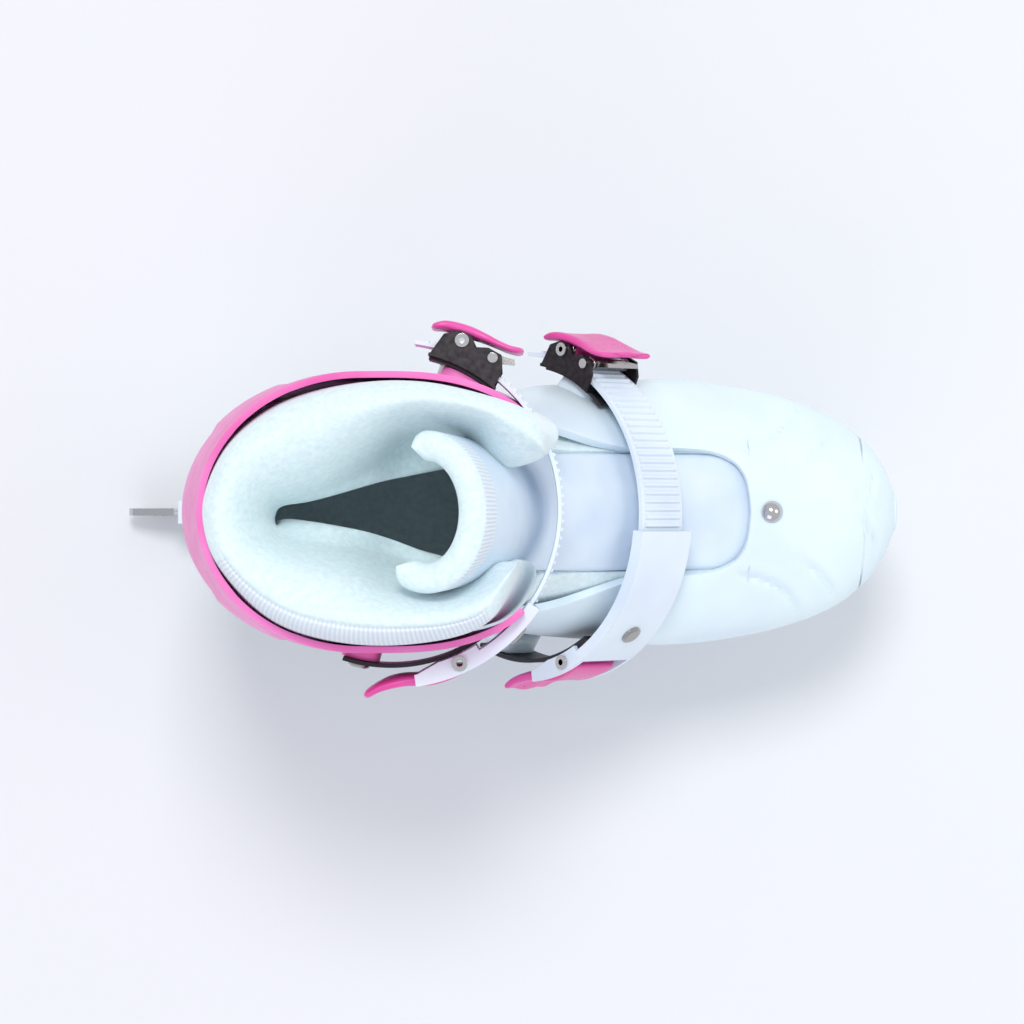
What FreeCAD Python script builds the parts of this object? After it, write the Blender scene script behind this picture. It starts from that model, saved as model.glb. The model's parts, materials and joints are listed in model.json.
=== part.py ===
import FreeCAD, Part
import math
import os
import re
import Sketcher
from FreeCAD import Placement, Rotation, Vector

# A left ice skate with a hard shell, a hinged cuff, a soft inner boot and two ratchet straps.
# +X points to the toe, +Y to the outer side of the foot, +Z up. The origin is on the blade's
# running edge, under the middle of the boot. All sizes are in millimetres and degrees.

SIZES = {
    # boot form
    "toe_reach": 153, "heel_reach": 123, "sole_height": 58, "boot_height": 192,
    "ball_width": 106, "leg_width": 96, "shell_wall": 3.2, "cuff_wall": 2.6,
    "cuff_gap": 1.2, "liner_gap": 0.5, "foot_padding": 7, "collar_padding": 14,
    "collar_rise": 9, "throat_width": 50, "throat_front": 93.5, "throat_corner": 19,
    "footbed_thick": 2,
    # ankle hinge
    "ankle_back": 62, "ankle_height": 128, "ankle_rivet_radius": 3, "ankle_head_radius": 7,
    "cuff_flex": 8, "flex_cylinder": 62, "flex_ray": 33,
    # blade and its holder
    "blade_thick": 3, "blade_front": 126, "blade_tail": 161, "blade_top": 24,
    "holder_front": 118, "holder_tail": 139, "holder_thick": 10, "rail_bottom": 13,
    "rail_top": 31, "seat_thick": 3.5, "seat_width": 44, "screw_radius": 2.2,
    "screw_head_radius": 4.2, "blade_rivet_radius": 2,
    # straps: an arc of constant radius, so that it slides round its own centre
    "strap_width": 23, "strap_thick": 1.5, "tooth_height": 0.9, "tooth_pitch": 3.1,
    "instep_stand": 9, "cuff_stand": 13.5, "strap_gap": 1.6, "slide_teeth": 3,
    "frame_wall": 1.2, "side_gap": 0.8, "leaf_thick": 1.3, "pin_radius": 1.9,
    "pawl_pin_radius": 1.3, "pin_fit": 0.06, "pin_head_radius": 2.6, "wire_radius": 0.45,
    "lever_width": 28.6, "channel_wall": 1.7, "toggle_pin_radius": 2, "toggle_head_radius": 2.8,
    "rivet_radius": 1.6, "rivet_head_radius": 3.1, "anchor_radius": 2, "anchor_head_radius": 4,
    "toe_rivet_radius": 2, "toe_dome_radius": 4.3, "toe_dome_height": 2.6,
}

doc = FreeCAD.newDocument("ice_skate")
sheet = doc.addObject("Spreadsheet::Sheet", "Sizes")
for row, (alias, value) in enumerate(SIZES.items(), start=1):
    sheet.set(f"A{row}", alias)
    sheet.set(f"B{row}", str(value))
    sheet.setAlias(f"B{row}", alias)
doc.recompute()

pieces = []  # every object that becomes a node


def formula(text):
    """Put the sheet's name before each alias in a formula."""
    return re.sub(r"[a-z_]+", lambda m: "Sizes." + m[0] if m[0] in SIZES else m[0], str(text))


def size(text):
    """The number that a formula of the sheet's values gives now."""
    value = sheet.evalExpression(formula(text))
    return float(getattr(value, "Value", value))


# ---------------------------------------------------------------- sketched pieces

def new_body(label, place=None):
    body = doc.addObject("PartDesign::Body", label)
    body.Label = label
    if place is not None:
        body.Placement = place
    pieces.append(body)
    return body


def new_sketch(body, role):
    sketch = body.newObject("Sketcher::SketchObject", body.Label + "_sketch")
    plane = next(f for f in body.Origin.OriginFeatures if f.Role == role)
    sketch.AttachmentSupport = [(plane, "")]
    sketch.MapMode = "FlatFace"
    return sketch


def add_outline(sketch, corners):
    """A closed run of straight lines whose corners are pairs of formulas."""
    spots = [Vector(size(a), size(b), 0) for a, b in corners]
    first = sketch.GeometryCount
    count = len(corners)
    for k in range(count):
        sketch.addGeometry(Part.LineSegment(spots[k], spots[(k + 1) % count]), False)
    for k in range(count):
        joint = (first + k, 2, first + (k + 1) % count, 1)
        sketch.addConstraint(Sketcher.Constraint("Coincident", *joint))
    for k, corner in enumerate(corners):
        for kind, text in zip(("DistanceX", "DistanceY"), corner):
            spot = sketch.addConstraint(Sketcher.Constraint(kind, first + k, 1, size(text)))
            sketch.setExpression(f"Constraints[{spot}]", formula(text))


def add_circle(sketch, across, up, radius):
    here = Vector(size(across), size(up), 0)
    ring = sketch.addGeometry(Part.Circle(here, Vector(0, 0, 1), size(radius)), False)
    spot = sketch.addConstraint(Sketcher.Constraint("Radius", ring, size(radius)))
    sketch.setExpression(f"Constraints[{spot}]", formula(radius))
    for kind, text in (("DistanceX", across), ("DistanceY", up)):
        spot = sketch.addConstraint(Sketcher.Constraint(kind, ring, 3, size(text)))
        sketch.setExpression(f"Constraints[{spot}]", formula(text))


def add_pad(body, role, width, outlines=(), circles=(), cut=False, shift=None):
    """Pad or pocket outlines by width, half to each side of the sketch's plane."""
    sketch = new_sketch(body, role)
    if shift is not None:
        sketch.AttachmentOffset = Placement(Vector(0, 0, size(shift)), Rotation())
        sketch.setExpression("AttachmentOffset.Base.z", formula(shift))
    for corners in outlines:
        add_outline(sketch, corners)
    for circle in circles:
        add_circle(sketch, *circle)
    kind = "PartDesign::Pocket" if cut else "PartDesign::Pad"
    before = body.Shape.Volume if cut else 0
    feature = body.newObject(kind, body.Label + ("_cut" if cut else "_pad"))
    feature.Profile = sketch
    feature.setExpression("Length", formula(width))
    feature.Midplane = True
    doc.recompute()
    if cut and not body.Shape.Volume < before - 1e-6:
        raise RuntimeError(body.Label + ": a pocket cut nothing")
    return feature


def add_ring(body, outlines, angle, backwards=False, both=False):
    """Turn outlines in the XZ plane about Z, from that plane or half to each side of it."""
    sketch = new_sketch(body, "XZ_Plane")
    for corners in outlines:
        add_outline(sketch, corners)
    feature = body.newObject("PartDesign::Revolution", body.Label + "_ring")
    feature.Profile = sketch
    feature.ReferenceAxis = (sketch, ["V_Axis"])
    feature.setExpression("Angle", formula(angle))
    feature.Midplane = both
    feature.Reversed = backwards
    doc.recompute()
    return feature


def soften(body, radius, test):
    """Round the edges that pass a test."""
    base = body.Tip
    names = [f"Edge{k}" for k, edge in enumerate(base.Shape.Edges, start=1) if test(edge)]
    feature = body.newObject("PartDesign::Fillet", body.Label + "_round")
    feature.Base = (base, names)
    feature.setExpression("Radius", formula(radius))
    doc.recompute()
    return feature


def along(axis):
    """A test for straight edges that run along an axis."""
    def test(edge):
        if not isinstance(edge.Curve, (Part.Line, Part.LineSegment)):
            return False
        return abs(edge.tangentAt(edge.FirstParameter).dot(axis)) > 0.999
    return test


def rectangle(x_low, x_high, y_low, y_high):
    return [(x_low, y_low), (x_high, y_low), (x_high, y_high), (x_low, y_high)]


def add_solid(label, shape):
    """A piece whose free form is worked out in code."""
    piece = doc.addObject("Part::Feature", label)
    piece.Label = label
    piece.Shape = shape
    pieces.append(piece)
    return piece


# ---------------------------------------------------------------- boot form

# The boot is a tube round the foot and leg. Each station joins a point on its front or top line
# to one on its sole or back line; the numbers are distances behind the toe as shares of the
# boot's length, heights above the sole as shares of its height, and the half-width as a share
# of the ball's or, from the heel on, of the leg's. The last two numbers say how square the
# section is at its front and at its sole.
STATIONS = [
    # front line       sole or back line   half-width  squareness
    (0.000, 0.172, 0.001, 0.120, 0.15, 2.1, 2.2),
    (0.013, 0.214, 0.020, 0.073, 0.35, 2.1, 2.3),
    (0.040, 0.253, 0.049, 0.039, 0.54, 2.2, 2.6),
    (0.091, 0.289, 0.100, 0.013, 0.735, 2.2, 3.0),
    (0.167, 0.315, 0.178, 0.000, 0.880, 2.2, 3.2),
    (0.250, 0.339, 0.264, 0.000, 0.965, 2.2, 3.2),
    (0.315, 0.385, 0.366, 0.000, 1.000, 2.0, 3.2),
    (0.373, 0.463, 0.482, 0.000, 0.965, 1.95, 3.2),
    (0.424, 0.552, 0.609, 0.000, 0.910, 2.0, 3.2),
    (0.464, 0.620, 0.754, 0.000, 0.950, 2.2, 3.0),
    (0.498, 0.688, 0.915, 0.006, 0.955, 2.5, 2.7),
    (0.509, 0.719, 0.958, 0.048, 0.955, 2.55, 2.5),
    (0.518, 0.752, 0.985, 0.130, 0.960, 2.6, 2.3),
    (0.525, 0.797, 1.000, 0.260, 0.970, 2.6, 2.1),
    (0.533, 0.849, 1.002, 0.427, 0.985, 2.6, 2.0),
    (0.540, 0.906, 0.993, 0.635, 1.000, 2.6, 2.0),
    (0.545, 0.964, 0.972, 0.823, 0.990, 2.6, 2.0),
    (0.551, 1.021, 0.950, 1.000, 0.965, 2.6, 2.0),
    (0.558, 1.100, 0.941, 1.094, 0.945, 2.6, 2.0),
]
LEG_FROM = 9  # first station whose width is a share of the leg's
SPOTS_HALF = 12


def station(index):
    """Front point, back point and half-width of one station."""
    row = STATIONS[index]
    length = size("toe_reach + heel_reach")
    front = Vector(size("toe_reach") - row[0] * length, 0, size("sole_height") + row[1] * size("boot_height"))
    back = Vector(size("toe_reach") - row[2] * length, 0, size("sole_height") + row[3] * size("boot_height"))
    full = size("leg_width" if index >= LEG_FROM else "ball_width")
    return front, back, row[4] * full / 2


def narrowest(index):
    """The smaller half-size of one station, which an inner form has to stay within."""
    front, back, half = station(index)
    return min(half, (front - back).Length / 2)


def half_curve(spots):
    curve = Part.BSplineCurve()
    curve.interpolate(Points=spots, Parameters=list(range(len(spots))))
    return curve.toShape()


def section(index, grow):
    """A closed wire round one station, moved outwards by grow."""
    front, back, half = station(index)
    middle = (front + back) / 2
    reach = (front - back).Length / 2 + grow
    upward = (front - back).normalize()
    # the toe closes along X, so the first stations move along it too
    middle = middle + Vector(grow * max(0, 1 - 0.4 * index), 0, 0)
    sides = []
    for side in (1, -1):
        spots = []
        for k in range(SPOTS_HALF + 1):
            turn = side * math.pi * (k / SPOTS_HALF - 0.5)
            rise = math.sin(turn)
            power = 2 / STATIONS[index][5 if rise > 0 else 6]
            across = side * abs(math.cos(turn)) ** power
            lift = math.copysign(abs(rise) ** power, rise)
            spots.append(middle + upward * reach * lift + Vector(0, across * (half + grow), 0))
        sides.append(half_curve(spots))
    return Part.Wire(sides)


def form(grow, over=0):
    """The boot's form, grown by an amount, with its open end carried up by over."""
    rings = [section(k, grow) for k in range(len(STATIONS)) if narrowest(k) + grow > 2]
    rings[-1].translate(Vector(0, 0, over))
    return Part.makeLoft(rings, True, True)


def prism(corners, half):
    """An outline in the XZ plane, carried to both sides along Y."""
    spots = [Vector(x, -half, z) for x, z in corners]
    face = Part.Face(Part.makePolygon(spots + spots[:1]))
    return face.extrude(Vector(0, 2 * half, 0))


FAR = 400  # well past every part of the boot
ankle = Vector(-size("ankle_back"), 0, size("ankle_height"))


def ankle_drum(radius):
    return Part.makeCylinder(radius, 2 * FAR, ankle - Vector(0, FAR, 0), Vector(0, 1, 0))


def foot_zone(radius, ray):
    """What stays with the foot: a drum round the ankle, and all below a ray from it."""
    away = Vector(math.cos(math.radians(ray)), 0, math.sin(math.radians(ray))) * FAR
    corners = [(ankle.x, ankle.z), (ankle.x + away.x, ankle.z + away.z)]
    corners += [(FAR, -FAR), (-FAR, -FAR), (-FAR, ankle.z)]
    return prism(corners, FAR).fuse(ankle_drum(radius))


def throat(half, front, low):
    """The open front of the shell, with rounded front corners."""
    block = Part.makeBox(front + 40, 2 * half, FAR, Vector(-40, -half, low))
    corner = min(size("throat_corner"), half - 1)
    edges = [e for e in block.Edges if along(Vector(0, 0, 1))(e) and e.CenterOfMass.x > 0]
    return block.makeFillet(corner, edges)


def rod(radius, start, end):
    return Part.makeCylinder(radius, (end - start).Length, start, end - start)


# ---------------------------------------------------------------- strap frames

# Each strap has a frame whose Z is the strap's width and whose X points out over its top.
# Angles round it are 0 at the top, positive towards the outer side of the foot.

def strap_frame(touch, lean, radius, side):
    """A frame whose arc of this radius has its top at touch, leaning back by an angle."""
    turn = Rotation(Vector(0, 1, 0), -lean)
    out = turn.multVec(Vector(1, 0, 0))
    return Placement(touch - out * radius + Vector(0, side, 0), turn)


def turned(place, angle):
    return place.multiply(Placement(Vector(), Rotation(Vector(0, 0, 1), angle)))


def front_line(height_share):
    """The point of the boot's front line at a height, as a share of the boot's height."""
    for low, high in zip(STATIONS, STATIONS[1:]):
        if low[1] <= height_share <= high[1]:
            part = (height_share - low[1]) / (high[1] - low[1])
            back = low[0] + part * (high[0] - low[0])
            length = size("toe_reach + heel_reach")
            rise = size("sole_height") + height_share * size("boot_height")
            return Vector(size("toe_reach") - back * length, 0, rise)


instep_radius = "(ball_width / 2 + instep_stand)"
cuff_radius = "(leg_width / 2 + cuff_stand)"
top_spot = front_line(0.448) + Vector(1, 0, 1) * size("strap_gap + 2")
instep_place = strap_frame(top_spot, 45, size(instep_radius), -0.5)
top_spot = front_line(0.69) + Vector(size("strap_gap"), 0, 0)
top_spot.z = size("sole_height") + 0.748 * size("boot_height")
cuff_place = strap_frame(top_spot, 0, size(cuff_radius), 1)


# ---------------------------------------------------------------- small pieces

def polar(reach, angle):
    """A point of an outline given by its distance and angle round the strap's centre."""
    return f"({reach}) * cos({angle})", f"({reach}) * sin({angle})"


def add_groove(body, outline, angle):
    """Take a turned outline out of a body, half to each side of the XZ plane."""
    sketch = new_sketch(body, "XZ_Plane")
    add_outline(sketch, outline)
    before = body.Shape.Volume
    feature = body.newObject("PartDesign::Groove", body.Label + "_groove")
    feature.Profile = sketch
    feature.ReferenceAxis = (sketch, ["V_Axis"])
    feature.Angle = angle
    feature.Midplane = True
    doc.recompute()
    if not body.Shape.Volume < before - 1e-6:
        raise RuntimeError(body.Label + ": a groove cut nothing")


def add_pin(label, place, shaft, head, half_length, head_thick, bore="0"):
    """A pin along Z with a head at each end, hollow where bore is more than 0."""
    body = new_body(label, place)
    inner = f"({half_length} - {head_thick})"
    outline = [(bore, f"-{half_length}"), (head, f"-{half_length}"), (head, f"-{inner}"), (shaft, f"-{inner}"),
               (shaft, inner), (head, inner), (head, half_length), (bore, half_length)]
    add_ring(body, [outline], "360")
    return body


def add_stud(label, places, shaft, head, low, seat, top, many=True):
    """Round fasteners along X of each place: a shaft from low to seat, a head up to top."""
    solids = []
    for place in places:
        profile = [(size(low), 0), (size(top), 0), (size(top), 0.72 * size(head)),
                   (size(f"({top} + {seat}) / 2"), size(head)), (size(seat), size(head)),
                   (size(seat), size(shaft)), (size(low), size(shaft))]
        face = Part.Face(Part.makePolygon([Vector(x, y, 0) for x, y in profile + profile[:1]]))
        solid = face.revolve(Vector(), Vector(1, 0, 0), 360)
        solid.Placement = place
        solids.append(solid)
    return add_solid(label, Part.makeCompound(solids) if many else solids[0])


def add_coils(label, place, reach, inner, count):
    """A spring's closed coils on both ends of a pin, each coil a ring."""
    rings = []
    for side in (-1, 1):
        for k in range(count):
            ring = doc.addObject("Part::Torus", f"{label}_coil")
            ring.setExpression("Radius1", formula(reach))
            ring.setExpression("Radius2", formula("wire_radius"))
            ring.Placement = Placement(Vector(0, 0, side * (size(inner) + k * 2.1 * size("wire_radius"))), Rotation())
            rings.append(ring)
    group = doc.addObject("Part::Compound", label)
    group.Label = label
    group.Links = rings
    group.Placement = place
    pieces.append(group)
    doc.recompute()
    return group


# ---------------------------------------------------------------- one strap with its buckles

HALF_FRAME = "(strap_width / 2 + side_gap)"
FULL_FRAME = "(strap_width + 2 * side_gap + 2 * frame_wall)"
FULL_CHANNEL = "(strap_width + 2 * side_gap + 2 * channel_wall)"
HUB_WIDTH = "(strap_width - 6)"


def ratchet_seats(place, angles):
    """Where the two rivets of a ratchet frame stand."""
    return [turned(place, angles["ratchet"] + side * 7) for side in (-1, 1)]


def screw_spot(place, angles):
    """Where the screw that joins the ladder to its holder stands."""
    return turned(place, angles["ladder_from"] + 5)


def add_ladder(name, place, radius, angles):
    body = new_body(name + "_ladder_strap", turned(place, angles["ladder_from"]))
    arc = rectangle(radius, f"{radius} + strap_thick", "-strap_width / 2", "strap_width / 2")
    add_ring(body, [arc], angles["ladder_to"] - angles["ladder_from"])
    step = math.degrees(size("tooth_pitch") / size(f"{radius} + strap_thick"))
    start = angles["teeth_from"] - angles["ladder_from"]
    count = int((angles["ladder_to"] - angles["teeth_from"]) / step)
    arm = f"{radius} + strap_thick"
    tooth = []
    for lift, share in (("-0.5", -0.4), ("tooth_height", -0.2), ("tooth_height", 0.08), ("-0.5", 0.4)):
        tooth.append(polar(f"{arm} + {lift}", f"{start} + {share} * tooth_pitch * 180 / (pi * ({arm}))"))
    rung = add_pad(body, "XY_Plane", "strap_width - 4", [tooth])
    rungs = body.newObject("PartDesign::PolarPattern", name + "_rungs")
    rungs.Originals = [rung]
    rungs.Axis = (next(f for f in body.Origin.OriginFeatures if f.Role == "Z_Axis"), [""])
    rungs.Angle = step * (count - 1)
    rungs.Occurrences = count
    body.Tip = rungs
    doc.recompute()
    cut_radial(body, screw_spot(place, angles), "anchor_radius + 0.05")


def add_ratchet(name, place, radius, angles):
    """The ratchet buckle: frame, lever, lock pawl, their pins, springs and the frame's rivets."""
    seat = turned(place, angles["ratchet"])
    floor_low = f"({radius} - 3.2)"
    floor_top = f"({floor_low} + frame_wall)"
    lever_pin = (f"({radius} + 5.8)", "5")
    pawl_pin = (f"({radius} + 5.2)", "-8")

    frame = new_body(name + "_ratchet_frame", seat)
    plate = rectangle(floor_low, floor_top, f"-{FULL_FRAME} / 2", f"{FULL_FRAME} / 2")
    add_ring(frame, [plate], "27", both=True)
    ear = [(f"{floor_low} + 0.4", "0"), (f"{floor_low} - 0.8", "-13.4"), (f"{radius} + 2.5", "-13.5"),
           (f"{radius} + 7.6", "-10.5"), (f"{radius} + 7.8", "-5"), (f"{radius} + 6", "-1"),
           (f"{radius} + 8.8", "2.6"), (f"{radius} + 8.8", "7"), (f"{radius} + 5", "12"),
           (f"{floor_low} - 0.8", "13.4")]
    add_pad(frame, "XY_Plane", FULL_FRAME, [ear])
    add_groove(frame, rectangle(floor_top, f"{radius} + 16", f"-{HALF_FRAME}", HALF_FRAME), 70)
    holes = [(*lever_pin, "pin_radius + pin_fit"), (*pawl_pin, "pawl_pin_radius + pin_fit")]
    add_pad(frame, "XY_Plane", "strap_width * 3", circles=holes, cut=True)
    for k, rivet in enumerate(ratchet_seats(place, angles)):
        cut_radial(frame, rivet, "rivet_radius + 0.03")

    leaf = new_body(name + "_base_leaf", turned(place, angles["ratchet"] - angles["leaf"]))
    low = f"({floor_low} - leaf_thick)"
    slab = rectangle(low, f"{floor_low} - 0.02", "-strap_width / 2 + 1", "strap_width / 2 - 1")
    add_ring(leaf, [slab], angles["leaf"] + 13)
    for rivet in ratchet_seats(place, angles):
        cut_radial(leaf, rivet, "rivet_radius + 0.03")

    add_stud(name + "_frame_rivets", ratchet_seats(place, angles), "rivet_radius", "rivet_head_radius",
             f"{low} - 4", floor_top, f"{floor_top} + 1")

    half_pin = f"({FULL_FRAME} / 2 + 1)"
    at_lever = seat.multiply(Placement(Vector(size(lever_pin[0]), 5, 0), Rotation()))
    at_pawl = seat.multiply(Placement(Vector(size(pawl_pin[0]), -8, 0), Rotation()))
    add_pin(name + "_lever_pin", at_lever, "pin_radius", "pin_head_radius", half_pin, "0.9", "1.1")
    add_pin(name + "_pawl_pin", at_pawl, "pawl_pin_radius", "1.9", f"({half_pin} - 0.2)", "0.7")
    beside = f"{HUB_WIDTH} / 2 + wire_radius + 0.3"
    add_coils(name + "_lever_spring", at_lever, "pin_radius + wire_radius + 0.4", beside, 3)
    add_coils(name + "_pawl_spring", at_pawl, "pawl_pin_radius + wire_radius + 0.3", beside, 2)

    lever = new_body(name + "_ratchet_lever", seat)
    cap = [(f"{radius} + 7.6", "17"), (f"{radius} + 10.8", "12"), (f"{radius} + 12", "4"),
           (f"{radius} + 12.4", "-6"), (f"{radius} + 12.8", "-12"), (f"{radius} + 13.6", "-16"),
           (f"{radius} + 12", "-17.2"), (f"{radius} + 11", "-12"), (f"{radius} + 10.4", "-6"),
           (f"{radius} + 9.7", "0"), (f"{radius} + 9.7", "7.5"), (f"{radius} + 8.7", "12"),
           (f"{radius} + 6.2", "16.2")]
    add_pad(lever, "XY_Plane", "lever_width", [cap])
    web = rectangle(lever_pin[0], f"{radius} + 10.5", "2.4", "7.6")
    add_pad(lever, "XY_Plane", HUB_WIDTH, [web])
    add_pad(lever, "XY_Plane", HUB_WIDTH, circles=[(*lever_pin, "3")])
    add_pad(lever, "XY_Plane", "strap_width * 3", circles=[(*lever_pin, "pin_radius + pin_fit")], cut=True)

    pawl = new_body(name + "_lock_pawl", seat)
    arm = [(f"{radius} + 2.9", "-4.4"), (f"{radius} + 4.2", "-2.9"), (f"{radius} + 7", "-6"),
           (f"{radius} + 7.2", "-9.5"), (f"{radius} + 8.4", "-15.4"), (f"{radius} + 7", "-16.4"),
           (f"{radius} + 5.3", "-12"), (f"{radius} + 3", "-9")]
    add_pad(pawl, "XY_Plane", HUB_WIDTH, [arm])
    add_pad(pawl, "XY_Plane", HUB_WIDTH, circles=[(*pawl_pin, "2.2")])
    add_pad(pawl, "XY_Plane", "strap_width * 3", circles=[(*pawl_pin, "pawl_pin_radius + pin_fit")], cut=True)


def cut_radial(body, place, radius):
    """A hole along a place's X axis, out from the strap's centre."""
    hole = doc.addObject("PartDesign::SubtractiveCylinder", body.Label + "_hole")
    body.addObject(hole)
    inside = body.Placement.inverse().multiply(place)
    hole.setExpression("Radius", formula(radius))
    hole.Height = 200
    before = body.Shape.Volume
    hole.Placement = inside.multiply(Placement(Vector(), Rotation(Vector(0, 1, 0), 90)))
    doc.recompute()
    if not body.Shape.Volume < before - 1e-6:
        raise RuntimeError(body.Label + ": a radial hole cut nothing")


def add_toggle(name, place, radius, angles):
    """The toggle buckle: its channel, lever and pin on the strap, and the fixed base strap."""
    toggle = turned(place, angles["toggle"])
    pin = (f"({radius} + 0.6)", "0")
    half = HALF_FRAME
    full = f"{FULL_CHANNEL} / 2"
    web_low = f"({radius} + 2.8)"
    outer = f"({web_low} + channel_wall)"

    holder = new_body(name + "_strap_holder", turned(place, angles["toggle"] + 8))
    low = f"({radius} - 0.3)"
    channel = [(low, f"-{full}"), (outer, f"-{full}"), (outer, full), (low, full),
               (low, half), (web_low, half), (web_low, f"-{half}"), (low, f"-{half}")]
    add_ring(holder, [channel], angles["holder_from"] - angles["toggle"] - 8)
    deep = f"({radius} - 2.6)"
    cheeks = [rectangle(deep, outer, half, full), rectangle(deep, outer, f"-{full}", f"-{half}")]
    add_ring(holder, cheeks, "24", backwards=True)
    hole = (*polar(pin[0], "-8"), "toggle_pin_radius + pin_fit")
    add_pad(holder, "XY_Plane", "strap_width * 3", circles=[hole], cut=True)
    tip = [polar(f"{radius} - 12", "-9"), polar(f"{deep} - 0.4", "-13"), polar(f"{outer} - 4.5", "-23"),
           polar(f"{outer} - 3.5", "-30"), polar(f"{radius} - 12", "-30")]
    add_pad(holder, "XY_Plane", "strap_width * 3", [tip], cut=True)
    screw = screw_spot(place, angles)
    cut_radial(holder, screw, "anchor_radius + 0.05")

    at_pin = toggle.multiply(Placement(Vector(size(pin[0]), 0, 0), Rotation()))
    add_pin(name + "_toggle_pin", at_pin, "toggle_pin_radius", "toggle_head_radius",
            f"({full} + 1)", "0.9", "1.2")

    lever = new_body(name + "_toggle_lever", toggle)
    paddle = [polar(f"{radius} + 4.4", "3"), polar(f"{radius} + 4.7", "-6"), polar(f"{radius} + 4.4", "-16"),
              polar(f"{radius} + 4", "-26"), polar(f"{radius} + 5", "-35"), polar(f"{radius} + 6.8", "-41"),
              polar(f"{radius} + 5", "-42"), polar(f"{radius} + 2", "-36"), polar(f"{radius} + 0.6", "-26"),
              polar(f"{radius} - 0.4", "-14"), polar(f"{radius} - 1.8", "-4"), polar(f"{radius} + 1.5", "3")]
    width = f"(strap_width + side_gap)"
    add_pad(lever, "XY_Plane", width, [paddle])
    add_pad(lever, "XY_Plane", width, circles=[(*pin, "3.1")])
    add_pad(lever, "XY_Plane", "strap_width * 3", circles=[(*pin, "toggle_pin_radius + pin_fit")], cut=True)

    base_top = f"({radius} - 3)"
    base_low = f"({base_top} - 1.5)"
    base = new_body(name + "_base_strap", turned(place, angles["base_from"]))
    slab = rectangle(base_low, base_top, "-strap_width / 2 + 0.8", "strap_width / 2 - 0.8")
    add_ring(base, [slab], angles["base_from"] - angles["base_to"], backwards=True)
    anchor = turned(place, angles["anchor"])
    cut_radial(base, anchor, "anchor_radius + 0.05")
    add_stud(name + "_anchor_screw", [anchor], "anchor_radius", "anchor_head_radius",
             f"{base_low} - 4.5", f"{base_top} + 0.02", f"{base_top} + 1.5", many=False)
    add_stud(name + "_strap_screw", [screw], "anchor_radius", "anchor_head_radius",
             f"{radius} + 0.1", f"{outer} + 0.02", f"{outer} + 1.3", many=False)


def strap_bosses(place, radius, angles):
    """Round bosses that carry a strap's fixed ends on the wall below, and the holes in them."""
    floor = size(f"{radius} - 3.2 - leaf_thick - 0.2")
    under = size(f"{radius} - 3 - 1.5 - 0.36")
    bosses = []
    holes = []
    for spot in ratchet_seats(place, angles):
        bosses.append((spot, floor, 4.2))
        holes.append((spot, floor - 4.05, size("rivet_radius") + 0.03))
    anchor = turned(place, angles["anchor"])
    bosses.append((anchor, under, 6))
    holes.append((anchor, under - 4.55, size("anchor_radius") + 0.05))
    solids = [rod(wide, at_x(spot, top - 9), at_x(spot, top)) for spot, top, wide in bosses]
    cuts = [rod(wide, at_x(spot, low), at_x(spot, low + 30)) for spot, low, wide in holes]
    return solids, cuts


def leaf_seat(place, radius, angles):
    """The shallow recess that a ratchet's base leaf lies in."""
    low = size(f"{radius} - 3.2 - leaf_thick - 0.15")
    wide = size("strap_width - 1")
    sweep = angles["leaf"] + 15
    foot = Vector(0, 0, -wide / 2)
    up = Vector(0, 0, 1)
    ring = Part.makeCylinder(low + 6, wide, foot, up, sweep).cut(Part.makeCylinder(low, wide, foot, up))
    ring.Placement = turned(place, angles["ratchet"] - angles["leaf"] - 1)
    return ring


def at_x(place, x):
    return place.multVec(Vector(x, 0, 0))


instep_angles = {"ratchet": 66, "leaf": 20, "ladder_from": -50, "ladder_to": 88, "teeth_from": -4, "holder_from": -6,
                 "toggle": -68, "base_from": -56, "base_to": -116, "anchor": -110}
cuff_angles = {"ratchet": 63, "leaf": 26, "ladder_from": -50, "ladder_to": 82, "teeth_from": -32, "holder_from": -34,
               "toggle": -66, "base_from": -54, "base_to": -108, "anchor": -102}
straps = {"instep": (instep_place, instep_radius, instep_angles), "cuff": (cuff_place, cuff_radius, cuff_angles)}
for name, (place, radius, angles) in straps.items():
    add_ladder(name, place, radius, angles)
    add_ratchet(name, place, radius, angles)
    add_toggle(name, place, radius, angles)


# ---------------------------------------------------------------- blade and holder

blade = new_body("blade")
edge = [("-blade_tail + 16", "0.6"), ("-100", "0"), ("80", "0"), ("blade_front - 20", "1.5"),
        ("blade_front - 8", "6"), ("blade_front", "16"), ("blade_front - 1", "21"), ("blade_front - 6", "blade_top"),
        ("-blade_tail + 20", "blade_top"), ("-blade_tail + 8", "18"), ("-blade_tail + 2", "15"),
        ("-blade_tail", "9"), ("-blade_tail + 5", "3")]
add_pad(blade, "XZ_Plane", "blade_thick", [edge])

RIVET_SPOTS = (-118, -70, -8, 62, 98)
rivet_height = "(rail_bottom + blade_top) / 2"
rivet_holes = [(x, rivet_height, "blade_rivet_radius + 0.04") for x in RIVET_SPOTS]
add_pad(blade, "XZ_Plane", "blade_thick * 3", circles=rivet_holes, cut=True)

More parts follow.
